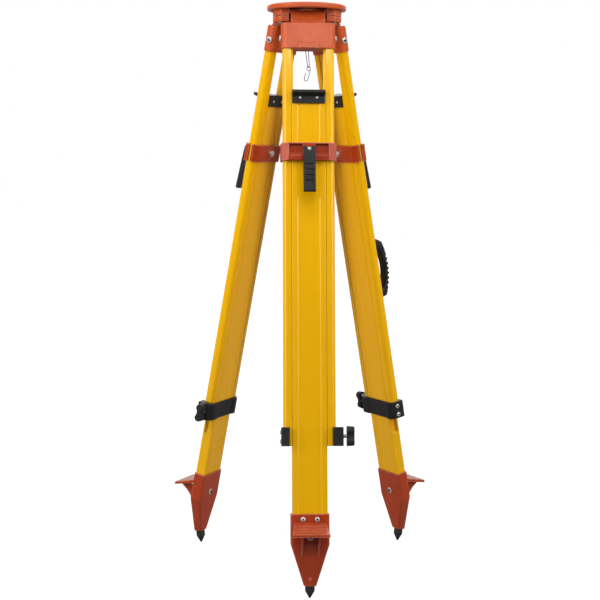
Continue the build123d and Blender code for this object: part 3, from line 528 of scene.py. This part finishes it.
# Shares of a head's height, shares of its radius, and shares of its recess
RIM_SHARE = 0.4
RECESS_DEPTH = 0.62
RECESS_REACH = 0.62
FLAT_CENTRE = 0.05
RECESS_TAPER = 0.82
CROSS_WIDTH = 0.3

# Chamfer under a head, points round it, rings up its dome, and the turn between screws in radians
RIM_CHAMFER = 0.25
HEAD_STEPS = 40
DOME_LOOPS = (0.2, 0.4, 0.6, 0.8, 1)
TURN_STEP = 0.65


def recess_edge(kind, size, angle):
    """Distance from a screw's axis to the edge of its recess at an angle."""
    if kind == "hex":
        return size * cos(pi / 6) / cos(angle % (pi / 3) - pi / 6)
    across = size * CROSS_WIDTH
    return max(box_reach(angle, size, across, across), box_reach(angle, across, size, size))


def recess_angles(kind):
    """Directions round a head: even steps, with the recess's corners exactly among them."""
    if kind == "hex":
        corners = [k * pi / 3 for k in range(6)]
    else:
        first = atan2(CROSS_WIDTH, 1)
        corners = [k * pi / 2 + turn for k in range(4) for turn in (first, pi / 4, pi / 2 - first)]
    apart = pi / HEAD_STEPS
    spare = []
    for angle in even_turns(HEAD_STEPS):
        if all(abs((angle - corner + pi) % (2 * pi) - pi) > apart for corner in corners):
            spare.append(angle)
    return sorted(spare + corners)


def screw(mesh, place, kind, turn):
    """Adds a pan-head screw along Z with a rounded rim and, if its kind has one, a recess in the dark steel
    as painted shade.
    """
    head = kind.head
    rim = kind.height * RIM_SHARE
    dome = kind.height - rim
    ball = (head**2 + dome**2) / (2 * dome)
    angles = [a + turn for a in recess_angles(kind.recess)]
    if kind.recess:
        inner = [recess_edge(kind.recess, head * RECESS_REACH, a - turn) for a in angles]
    else:
        inner = [head * FLAT_CENTRE for a in angles]

    profile = (
        (kind.shank, -kind.length),
        (kind.shank, 0),
        (head - RIM_CHAMFER, 0),
        (head, RIM_CHAMFER),
        (head, rim),
    )
    rings = [[polar(radius, a, level) for a in angles] for radius, level in profile]
    for share in DOME_LOOPS:
        ring = []
        for a, stop in zip(angles, inner):
            radius = head + (stop - head) * share
            ring.append(polar(radius, a, kind.height - ball + sqrt(ball**2 - radius**2)))
        rings.append(ring)
    if kind.recess:
        floor_level = kind.height - RECESS_DEPTH * kind.height
        rings.append([polar(RECESS_TAPER * radius, a, floor_level) for a, radius in zip(angles, inner)])

    local = bmesh.new()
    skin(local, rings)
    if kind.recess:
        # The last faces are the recess's walls, the end of the shank and the recess's floor
        local.faces.ensure_lookup_table()
        for face in local.faces[-len(angles) - 2 :]:
            # The recess's walls and floor take the dark steel as painted shade
            face.material_index = 0 if face.calc_center_median().z < 0 else 1
    place_into(mesh, local, place)


def facing(place, x, y, at, direction):
    """Place on a leg, in metres, with Z along a direction of the leg frame."""
    turn = Vector(direction).to_track_quat("Z", "Y").to_matrix().to_4x4()
    return place @ Matrix.Translation((x * MM, y * MM, -at * MM)) @ turn


def leg_screws(leg, spots):
    """Mesh of a leg's screws, each with its kind, its spot and the way that its head faces."""
    mesh = bmesh.new()
    for count, (kind, spot, way) in enumerate(spots):
        screw(mesh, facing(leg_place(leg), *spot, way), kind, TURN_STEP * (count + leg))
    return mesh


# Spots of the screws on a leg: across, in or out, and along
CASTING_BOLT_X = 55
CASTING_BOLT_AT = 49
CLAMP_BOLT_X = -56
CLAMP_BOLTS_AT = (840.5, 859)
RIVETS_X = (-17, 17)
RIVETS_Y = (-14, 14)
RIVETS_AT = 173
SHOE_FACES_Y = (-13.5, 13.5)
SHOE_SCREWS_X = (-14, 14)
SHOE_SCREWS_AT = 1010.5
SHOE_BOLT_AT = 1045
HANDLE_FACE_Y = -14.2
HANDLE_SCREWS_AT = (453, 621)


def upper_bolts(leg, side):
    """Side bolts of the casting, and the bolts on the plain side of the lower clamp."""
    spots = [(CASTING_BOLT, (way * CASTING_BOLT_X, 0, CASTING_BOLT_AT), (way, 0, 0)) for way in (1, -1)]
    spots += [(CLAMP_BOLT, (CLAMP_BOLT_X, 0, at), (-1, 0, 0)) for at in CLAMP_BOLTS_AT]
    mesh = leg_screws(leg, spots)
    node = f"{side}_upper_fasteners"
    piece(f"{side}_upper_bolts", mesh, (zinc, dark), f"{side}_upper_leg", "zinc_steel", node)


def lower_screws(leg, side):
    """Rivets of the end cap, screws and bolt heads of the shoe, and screws of the right leg's handle."""
    spots = [(CAP_RIVET, (x, y, RIVETS_AT), (0, y, 0)) for x in RIVETS_X for y in RIVETS_Y]
    spots += [(SHOE_SCREW, (x, SHOE_FACES_Y[0], SHOE_SCREWS_AT), (0, -1, 0)) for x in SHOE_SCREWS_X]
    spots += [(SHOE_BOLT, (0, y, SHOE_BOLT_AT), (0, y, 0)) for y in SHOE_FACES_Y]
    if side == "right":
        spots += [(HANDLE_SCREW, (0, HANDLE_FACE_Y, at), (0, -1, 0)) for at in HANDLE_SCREWS_AT]
    mesh = leg_screws(leg, spots)
    node = f"{side}_lower_fasteners"
    piece(f"{side}_lower_screws", mesh, (zinc, dark), f"{side}_lower_leg", "zinc_steel", node)


# Threads: from and to a level, outer radius, depth, pitch, and how far the ends fade
Thread = namedtuple("Thread", "low high major depth pitch run_out")

# Points round a thread, and turns beyond its length that its two ends cut off
THREAD_STEPS = 40
SPARE_TURNS = 3

# One pitch of a thread: the share of the pitch, and 1 on the crest or 0 at the root
THREAD_PROFILE = ((0, 1), (0.14, 1), (0.5, 0), (0.64, 0))


def thread(mesh, place, kind):
    """Adds a closed sleeve with a helical thread along Z that fades out at both ends."""
    count = len(THREAD_PROFILE)
    rows = int((kind.high - kind.low) / kind.pitch + SPARE_TURNS) * count
    local = bmesh.new()
    grid = []
    for row in range(rows):
        part, crest = THREAD_PROFILE[row % count]
        start = kind.low + (row // count - 1 + part) * kind.pitch
        line = []
        for k, angle in enumerate(even_turns(THREAD_STEPS)):
            level = min(max(start + kind.pitch * k / THREAD_STEPS, kind.low), kind.high)
            fade = min((level - kind.low) / kind.run_out, (kind.high - level) / kind.run_out, 1)
            radius = kind.major - kind.depth * (1 - crest * fade)
            line.append(local.verts.new(polar(radius, angle, level)))
        grid.append(line)
    for row in range(rows - count):
        for k in range(THREAD_STEPS):
            after = (k + 1) % THREAD_STEPS
            next_row = row if after else row + count
            if next_row + 1 < rows:
                beside = grid[next_row][after], grid[next_row + 1][after]
                local.faces.new((grid[row][k], *beside, grid[row + 1][k]))
    bmesh.ops.remove_doubles(local, verts=local.verts, dist=WELD)
    bmesh.ops.dissolve_degenerate(local, edges=local.edges, dist=WELD)
    loose = [vertex for vertex in local.verts if not vertex.link_faces]
    bmesh.ops.delete(local, geom=loose, context="VERTS")
    bmesh.ops.holes_fill(local, edges=[edge for edge in local.edges if edge.is_boundary])
    place_into(mesh, local, place)


# Thumb studs of the lower clamps: spot of the tip, radius of tip and root, length and thread
STUD_X = 52.4
STUD_AT = 849
STUD_TIP = 2.4
STUD_ROOT = 3.2
STUD_LENGTH = 31.6
STUD_THREAD = Thread(low=0.9, high=31.0, major=4, depth=0.77, pitch=1.25, run_out=0.6)


def threaded_stud(leg, side):
    """Thumb stud with a thread along it and a tapered tip."""
    mesh = bmesh.new()
    axis = facing(leg_place(leg), STUD_X, 0, STUD_AT, (1, 0, 0))
    lathe(mesh, axis, ((STUD_TIP, 0), (STUD_ROOT, STUD_THREAD.low), (STUD_ROOT, STUD_LENGTH)))
    thread(mesh, axis, STUD_THREAD)
    body = f"{side}_thumb_stud"
    piece(f"{side}_threaded_stud", mesh, (zinc,), body, "zinc_steel", f"{side}_thumb_stud")


# Bolts of the hinge caps: their circle under the head, and the angle of the first
HINGE_BOLT_CIRCLE = 62
HINGE_BOLT_LEVEL = -36.5
HINGE_BOLT_START = 90


def hinge_cap_bolts():
    """Bolts of the three hinge caps, between the legs, with their heads down."""
    mesh = bmesh.new()
    for leg in range(len(SIDES)):
        angle = radians(HINGE_BOLT_START + LEG_TURN * leg)
        spot = Matrix.Translation(polar(HINGE_BOLT_CIRCLE * MM, angle, HINGE_BOLT_LEVEL * MM))
        screw(mesh, spot @ Matrix.Rotation(pi, 4, "X"), HINGE_BOLT, TURN_STEP * leg)
    piece("hinge_cap_bolts", mesh, (zinc, dark), "head", "zinc_steel", "hinge_bolts")


# Instrument screw: radius and level of each stretch, its thread, and the flat tail round the link's hole
STEM_RADIUS = 6
STEM_LOW = -79
SHANK_RADIUS = 7.4
SHANK_LOW = -36
SHANK_HIGH = -8.6
ROOT_RADIUS = 6.6
ROOT_LOW = -7.8
ROOT_HIGH = 4.2
TIP_RADIUS = 5.6
TIP_LEVEL = 5
INSTRUMENT_THREAD = Thread(low=-7.6, high=4.7, major=7.9375, depth=1.3, pitch=2.309, run_out=1.1)
TAIL_HALF = 4
TAIL_ABOVE = 5
TAIL_BELOW = 3
TAIL_HALF_THICK = 1.6
TAIL_STEPS = 32
LINK_HOLE = 1.05
LINK_HOLE_LEVEL = -84
LINK_ANGLE = 50


def screw_tail(mesh):
    """Adds the flat tail with the hole that the wire link hangs in."""
    corners = []
    for level in (TAIL_ABOVE, -TAIL_BELOW):
        corners += [atan2(level, x) % (2 * pi) for x in (TAIL_HALF, -TAIL_HALF)]
    hole = []
    edge = []
    for angle in sorted(set(even_turns(TAIL_STEPS) + corners)):
        reach = box_reach(angle, TAIL_HALF, TAIL_ABOVE, TAIL_BELOW)
        hole.append(Vector((LINK_HOLE * cos(angle), 0, LINK_HOLE * sin(angle))))
        edge.append(Vector((reach * cos(angle), 0, reach * sin(angle))))
    half = Vector((0, TAIL_HALF_THICK, 0))
    local = bmesh.new()
    rings = ((hole, -half), (edge, -half), (edge, half), (hole, half), (hole, -half))
    skin(local, [[point + shift for point in line] for line, shift in rings], closed=False)
    bmesh.ops.remove_doubles(local, verts=local.verts, dist=WELD)
    across_link = Matrix.Rotation(radians(LINK_ANGLE + 90), 4, "Z")
    place_into(mesh, local, Matrix.Translation((0, 0, LINK_HOLE_LEVEL * MM)) @ across_link)


def threaded_instrument_screw():
    """Instrument screw: threaded top, plain shank and stem, and a flat tail for the wire link."""
    profile = (
        (STEM_RADIUS, STEM_LOW),
        (STEM_RADIUS, SHANK_LOW),
        (SHANK_RADIUS, SHANK_LOW),
        (SHANK_RADIUS, SHANK_HIGH),
        (ROOT_RADIUS, ROOT_LOW),
        (ROOT_RADIUS, ROOT_HIGH),
        (TIP_RADIUS, TIP_LEVEL),
    )
    mesh = bmesh.new()
    lathe(mesh, Matrix.Identity(4), profile)
    thread(mesh, Matrix.Identity(4), INSTRUMENT_THREAD)
    screw_tail(mesh)
    piece("threaded_instrument_screw", mesh, (brass,), "screw", "brass_ring", "instrument_screw")


# Lower legs: sunk panels with sloped edges, and side grooves that run out below the clamp
LEG_HALF = 34.6
LEG_DEEP = 11
LEG_ROUND = 1.2
LEG_ROUND_TURNS = (-90, -60, -30, 0)
LEG_TOP_AT = 164
LEG_BOTTOM_AT = 1057
PANEL_HALF = 20.8
PANEL_SLOPE = 2.7
PANEL_SINK = 0.8
SLOPE_LOOPS = (0, 0.12, 0.88, 1)
EDGE_LOOP = 0.8
GROOVE_MOUTH = 7.255
GROOVE_FLOOR_X = 30.1
GROOVE_FLOOR_Y = 4.5
GROOVE_END_AT = 902
GROOVE_RUN_OUT = 4


def leg_section(grooved):
    """Outline of a lower leg across X and Y, with its side grooves open or closed."""
    sunk = PANEL_SINK - LEG_DEEP
    quarter = [(PANEL_HALF - EDGE_LOOP, sunk)]
    quarter += [(PANEL_HALF + share * PANEL_SLOPE, sunk - share * PANEL_SINK) for share in SLOPE_LOOPS]
    quarter.append((PANEL_HALF + PANEL_SLOPE + EDGE_LOOP, -LEG_DEEP))
    for turn in LEG_ROUND_TURNS:
        across = LEG_HALF - LEG_ROUND + LEG_ROUND * cos(radians(turn))
        quarter.append((across, LEG_ROUND - LEG_DEEP + LEG_ROUND * sin(radians(turn))))
    quarter.append((LEG_HALF, -GROOVE_MOUTH))
    quarter.append((GROOVE_FLOOR_X if grooved else LEG_HALF, -GROOVE_FLOOR_Y))
    right_half = quarter + [(x, -y) for x, y in reversed(quarter)]
    return right_half + [(-x, y) for x, y in reversed(right_half)]


def pultruded_leg(leg, side):
    """Lower leg as one bar, from its bottom up."""
    levels = (
        (LEG_BOTTOM_AT, False),
        (GROOVE_END_AT + GROOVE_RUN_OUT, False),
        (GROOVE_END_AT, True),
        (LEG_TOP_AT, True),
    )
    rings = [[Vector((x, y, -at)) for x, y in leg_section(grooved)] for at, grooved in levels]
    mesh = bmesh.new()
    loft(mesh, leg_place(leg), rings)
    body = f"{side}_lower_leg"
    piece(f"{side}_pultruded_leg", mesh, (yellow[leg],), body, "yellow_fibreglass", f"{side}_lower_leg")


# Plumb hook: a leaning wire hook below a round eye that hangs in the wire link
WIRE_RADIUS = 0.75
LINK_LEAN = 8.5
EYE_LEVEL = -127.35
EYE_BEND = 4.2
EYE_SWEEP = 320
EYE_STEPS = 40
HOOK_ANGLE = -30
HOOK_LEAN = 14.8
HOOK_BEND = 4.3
HOOK_SHANK = 21.5
HOOK_TIP = 11


def bent_plumb_hook():
    """Wire hook from its tip round the bend and up the shank to the eye."""
    along = polar(1, radians(HOOK_ANGLE), 0)
    normal = along.cross(Vector((0, 0, 1)))
    hook_x = Matrix.Rotation(radians(-HOOK_LEAN), 3, normal) @ along
    hook_y = normal.cross(hook_x)
    eye = polar(LINK_LEAN, radians(LINK_ANGLE), EYE_LEVEL)
    bend_x = EYE_BEND - HOOK_BEND
    outline = [(bend_x - HOOK_BEND, HOOK_TIP - HOOK_SHANK)]
    outline += arc((bend_x, -HOOK_SHANK), HOOK_BEND, 180, 180)
    outline += arc((0, 0), EYE_BEND, 0, EYE_SWEEP, EYE_STEPS)
    mesh = bmesh.new()
    path = [eye + x * hook_x + y * hook_y for x, y in outline]
    tube(mesh, Matrix.Identity(4), path, WIRE_RADIUS)
    piece("bent_plumb_hook", mesh, (wire,), "plumb_hook", "zinc_steel", "plumb_hook")


# Carry handle: a bowed grip with rounded teeth along its outer side, on a base strip
HANDLE_HALF = 11
HANDLE_EDGE = 3
HANDLE_EDGE_TURNS = (0, 30, 60, 90)
BASE_FACE = 10.2
BASE_TOP = -HANDLE_FACE_Y
BASE_CHAMFER = 0.6
BASE_AT = (446, 628)

# Each side of the grip: three points of its bow as (out, along), and where its feet stand
GRIP_OUTER = ((53, 487), (62.5, 541), (48, 606))
GRIP_INNER = ((45, 504), (52.5, 541), (42, 588))
GRIP_OUTER_FEET = (460, 614)
GRIP_INNER_FEET = (488, 593)
GRIP_ROOT = 0.5
GRIP_STATIONS = 180
BOW_STEPS = 60

# Teeth: how many, between which shares of the grip's length, how far out and how deep
TEETH = 8
TOOTHED = (0.35, 0.77)
TOOTH_OUT = 1.2
TOOTH_DEPTH = 4


def bow_through(points):
    """Points along the arc through three points."""
    (x0, y0), (x1, y1), (x2, y2) = points
    cut = 2 * (x0 * (y1 - y2) + x1 * (y2 - y0) + x2 * (y0 - y1))
    squares = [x * x + y * y for x, y in points]
    centre_x = (squares[0] * (y1 - y2) + squares[1] * (y2 - y0) + squares[2] * (y0 - y1)) / cut
    centre_y = (squares[0] * (x2 - x1) + squares[1] * (x0 - x2) + squares[2] * (x1 - x0)) / cut
    start = atan2(y0 - centre_y, x0 - centre_x)
    sweep = atan2(y2 - centre_y, x2 - centre_x) - start
    radius = hypot(x0 - centre_x, y0 - centre_y)
    return arc((centre_x, centre_y), radius, degrees(start), degrees(sweep), BOW_STEPS)


def evenly_along(path, count):
    """Points in even steps along a path of straight stretches."""
    lengths = [0]
    for before, after in zip(path, path[1:]):
        lengths.append(lengths[-1] + (after - before).length)
    points = []
    part = 0
    for k in range(count + 1):
        reach = lengths[-1] * k / count
        while part < len(path) - 2 and lengths[part + 1] < reach:
            part += 1
        share = (reach - lengths[part]) / (lengths[part + 1] - lengths[part])
        points.append(path[part].lerp(path[part + 1], min(share, 1)))
    return points


def grip_run(bow, feet):
    """One side of the grip, a bow with straight feet, as (out, along) points in even steps."""
    base = BASE_FACE + GRIP_ROOT
    path = [(base, feet[0]), *bow_through(bow), (base, feet[1])]
    return evenly_along([Vector(point) for point in path], GRIP_STATIONS)


def grip_ring(inner, outer):
    """Rounded box section of the grip between its inner and outer side."""
    out = outer - inner
    thick = out.length
    out.normalize()
    depths = (HANDLE_EDGE, thick - HANDLE_EDGE)
    corners = ((1, depths[0]), (1, depths[1]), (-1, depths[1]), (-1, depths[0]))
    ring = []
    for quarter, (x_side, depth) in enumerate(corners):
        for turn in HANDLE_EDGE_TURNS:
            angle = radians(90 * (quarter - 1) + turn)
            x = x_side * (HANDLE_HALF - HANDLE_EDGE) + HANDLE_EDGE * cos(angle)
            spot = inner + (depth + HANDLE_EDGE * sin(angle)) * out
            ring.append(Vector((x, -spot.x, -spot.y)))
    return ring


def grip_rings():
    """Sections along the grip, with a toothed stretch on its outer side."""
    rings = []
    inner_run = grip_run(GRIP_INNER, GRIP_INNER_FEET)
    outer_run = grip_run(GRIP_OUTER, GRIP_OUTER_FEET)
    for k, (inner, outer) in enumerate(zip(inner_run, outer_run)):
        along = (k / GRIP_STATIONS - TOOTHED[0]) / (TOOTHED[1] - TOOTHED[0]) * TEETH
        from_end = min(along, TEETH - along)
        if from_end > 0:
            lift = TOOTH_OUT * min(from_end, 1)
            wave = (1 + cos(2 * pi * along)) / 2
            valley = TOOTH_DEPTH * wave * min(2 * from_end, 1)
            outer = outer + (outer - inner).normalized() * (lift - valley)
        rings.append(grip_ring(inner, outer))
    return rings


def strip_rings():
    """Sections of the base strip from the leg outwards, with round ends and a chamfered top."""
    sections = (
        (HANDLE_HALF, BASE_FACE),
        (HANDLE_HALF, BASE_TOP - BASE_CHAMFER),
        (HANDLE_HALF - BASE_CHAMFER, BASE_TOP),
    )
    rings = []
    for radius, out in sections:
        outline = arc((0, -BASE_AT[0] - HANDLE_HALF), radius, 0, 180)
        outline += arc((0, HANDLE_HALF - BASE_AT[1]), radius, 180, 180)
        rings.append([Vector((x, -out, level)) for x, level in outline])
    return rings


def toothed_handle():
    """Carry handle on the outer face of the right leg."""
    place = leg_place(SIDES.index("right"))
    mesh = bmesh.new()
    loft(mesh, place, grip_rings())
    loft(mesh, place, strip_rings())
    piece("toothed_handle", mesh, (black,), "right_lower_leg", "black_plastic", "carry_handle")


# All pieces that stand for nodes of the solids
for leg, side in enumerate(SIDES):
    upper_bolts(leg, side)
    lower_screws(leg, side)
    threaded_stud(leg, side)
hinge_cap_bolts()
threaded_instrument_screw()
for leg, side in enumerate(SIDES):
    pultruded_leg(leg, side)
bent_plumb_hook()
toothed_handle()

# Camera at the photograph's place and angle, with the focal length in pixels of the photograph
PICTURE_WIDTH = 600
FOCAL_PIXELS = 1332.504
SENSOR_WIDTH = 36
CAMERA_PLACE = (-0.155995, -2.789313, -0.291664)
YAW = radians(3.003)
PITCH = radians(6.495)
ROLL = radians(0.377)


def photo_camera():
    """Camera turned by yaw, then pitch, then roll."""
    ahead = Vector((sin(YAW) * cos(PITCH), cos(YAW) * cos(PITCH), -sin(PITCH)))
    level = Vector((cos(YAW), -sin(YAW), 0))
    upward = level.cross(ahead)
    right = cos(ROLL) * level + sin(ROLL) * upward
    up = cos(ROLL) * upward - sin(ROLL) * level
    lens = bpy.data.cameras.new("camera")
    lens.lens = FOCAL_PIXELS / PICTURE_WIDTH * SENSOR_WIDTH
    lens.sensor_width = SENSOR_WIDTH
    camera = bpy.data.objects.new("camera", lens)
    turned = Matrix((right, up, -ahead)).transposed().to_4x4()
    camera.matrix_world = Matrix.Translation(CAMERA_PLACE) @ turned
    bpy.context.scene.collection.objects.link(camera)
    bpy.context.scene.camera = camera


photo_camera()

# Soft studio light: name, place, target, width, height and power of each lamp
Lamp = namedtuple("Lamp", "name place target width height power")
LAMPS = (
    Lamp("key", (-1.5, -2.4, 1.1), (0, 0, -0.3), 1.2, 1.2, 15),
    Lamp("fill", (1.55, -2.35, 0.9), (0, 0, -0.3), 1.2, 1.2, 9),
    Lamp("sheen", (0.1, -0.9, 0.4), (0, -0.06, -0.07), 0.3, 0.2, 2.0),
    Lamp("top", (0, -1.0, 1.6), (0, 0, -0.2), 1.2, 0.8, 13),
    Lamp("left_strip", (-2.3, -0.6, 0.0), (0, 0, -0.45), 0.3, 2.0, 39),
    Lamp("right_strip", (2.3, -0.6, 0.0), (0, 0, -0.45), 0.3, 2.0, 31),
    Lamp("back", (0.4, 2.8, 1.4), (0, 0, -0.5), 2.0, 2.0, 31),
)


def studio_lamp(lamp):
    """Rectangular lamp that the camera doesn't see, and that isn't mirrored if it is a strip."""
    light = bpy.data.lights.new(lamp.name, "AREA")
    light.shape = "RECTANGLE"
    light.size = lamp.width
    light.size_y = lamp.height
    light.energy = lamp.power
    holder = bpy.data.objects.new(lamp.name, light)
    holder.visible_camera = False
    holder.visible_glossy = not lamp.name.endswith("strip")
    holder.location = lamp.place
    aim = Vector(lamp.target) - Vector(lamp.place)
    holder.rotation_euler = aim.to_track_quat("-Z", "Y").to_euler()
    bpy.context.scene.collection.objects.link(holder)


for lamp in LAMPS:
    studio_lamp(lamp)

# White surroundings, dimmer as a lamp and in reflections of the side that the photographer stands on
WHITE = (1, 1, 1, 1)
SKY_LIGHT = 0.4
FRONT_REFLECTION = 0.06
SIDE_REFLECTION = 4

# Parts of a direction between which reflections change: to the white behind, and to and from the side light
BACK_FROM = (0.55, 0.9)
SIDE_FROM = (0.3, 0.65)
SIDE_UNTIL = (0.8, 0.95)
SIDE_UNTIL_BACK = (0.1, 0.35)
SIDE_ABOVE = (0.06, 0.2)


def white_surroundings():
    """World that the camera sees as white, with its own levels for light and for reflections."""
    world = bpy.data.worlds.new("studio")
    world.use_nodes = True
    bpy.context.scene.world = world
    sky = Nodes(world.node_tree)
    generated = sky.add("ShaderNodeTexCoord").outputs["Generated"]
    way = sky.add("ShaderNodeSeparateXYZ", {0: generated}).outputs
    aside = sky.maths("ABSOLUTE", way["X"])
    beside = sky.spread(aside, SIDE_FROM, to=(0, SIDE_REFLECTION))
    beside = sky.maths("MULTIPLY", beside, sky.spread(aside, SIDE_UNTIL, to=(1, 0)))
    beside = sky.maths("MULTIPLY", beside, sky.spread(way["Y"], SIDE_UNTIL_BACK, to=(1, 0)))
    beside = sky.maths("MULTIPLY", beside, sky.spread(way["Z"], SIDE_ABOVE))
    behind = sky.spread(way["Y"], BACK_FROM, to=(FRONT_REFLECTION, 1))
    mirror = sky.maths("ADD", behind, beside)
    matt_only = sky.maths("SUBTRACT", 1, sky.add("ShaderNodeLightPath").outputs["Is Glossy Ray"])
    ambient = sky.maths("MULTIPLY", matt_only, SKY_LIGHT)
    strength = sky.maths("MAXIMUM", sky.shown(mirror), ambient)
    background = sky.add("ShaderNodeBackground", {"Color": WHITE, "Strength": strength})
    sky.add("ShaderNodeOutputWorld", {"Surface": background.outputs["Background"]})


white_surroundings()

# Pale floor that keeps a faint shadow and melts into the white surroundings
FLOOR_REACH = 9
FLOOR_SEGMENTS = 96
FLOOR_GREY = 0.22
NEAR_GLOW = 0.84
FADE = (0.9, 3.2)


def floor_paper(name):
    """Matt grey that also glows for the camera, weakly near the part and fully far off."""
    look = Shader(name)
    reach = look.add("ShaderNodeVectorMath", {0: look.object}, operation="LENGTH").outputs["Value"]
    fade = look.spread(reach, FADE, to=(NEAR_GLOW, 1))
    strength = look.maths("MULTIPLY", look.shown(FRONT_REFLECTION), fade)
    glow = look.add("ShaderNodeEmission", {"Strength": strength}).outputs["Emission"]
    both = look.add("ShaderNodeAddShader", {0: look.surface.outputs["BSDF"], 1: glow})
    look.join(look.output, {"Surface": both.outputs["Shader"]})
    grey = (FLOOR_GREY, FLOOR_GREY, FLOOR_GREY, 1)
    return look.finish(Base_Color=grey, Roughness=1, Specular_IOR_Level=0)


def pale_floor():
    """Round floor under the lowest point of the part."""
    mesh = bmesh.new()
    bmesh.ops.create_circle(mesh, cap_ends=True, segments=FLOOR_SEGMENTS, radius=FLOOR_REACH)
    data = bpy.data.meshes.new("floor")
    mesh.to_mesh(data)
    mesh.free()
    data.materials.append(floor_paper("pale_floor"))
    floor = bpy.data.objects.new("floor", data)
    floor.location.z = cad_low.z
    bpy.context.scene.collection.objects.link(floor)


pale_floor()

bpy.context.scene.view_settings.view_transform = "Standard"
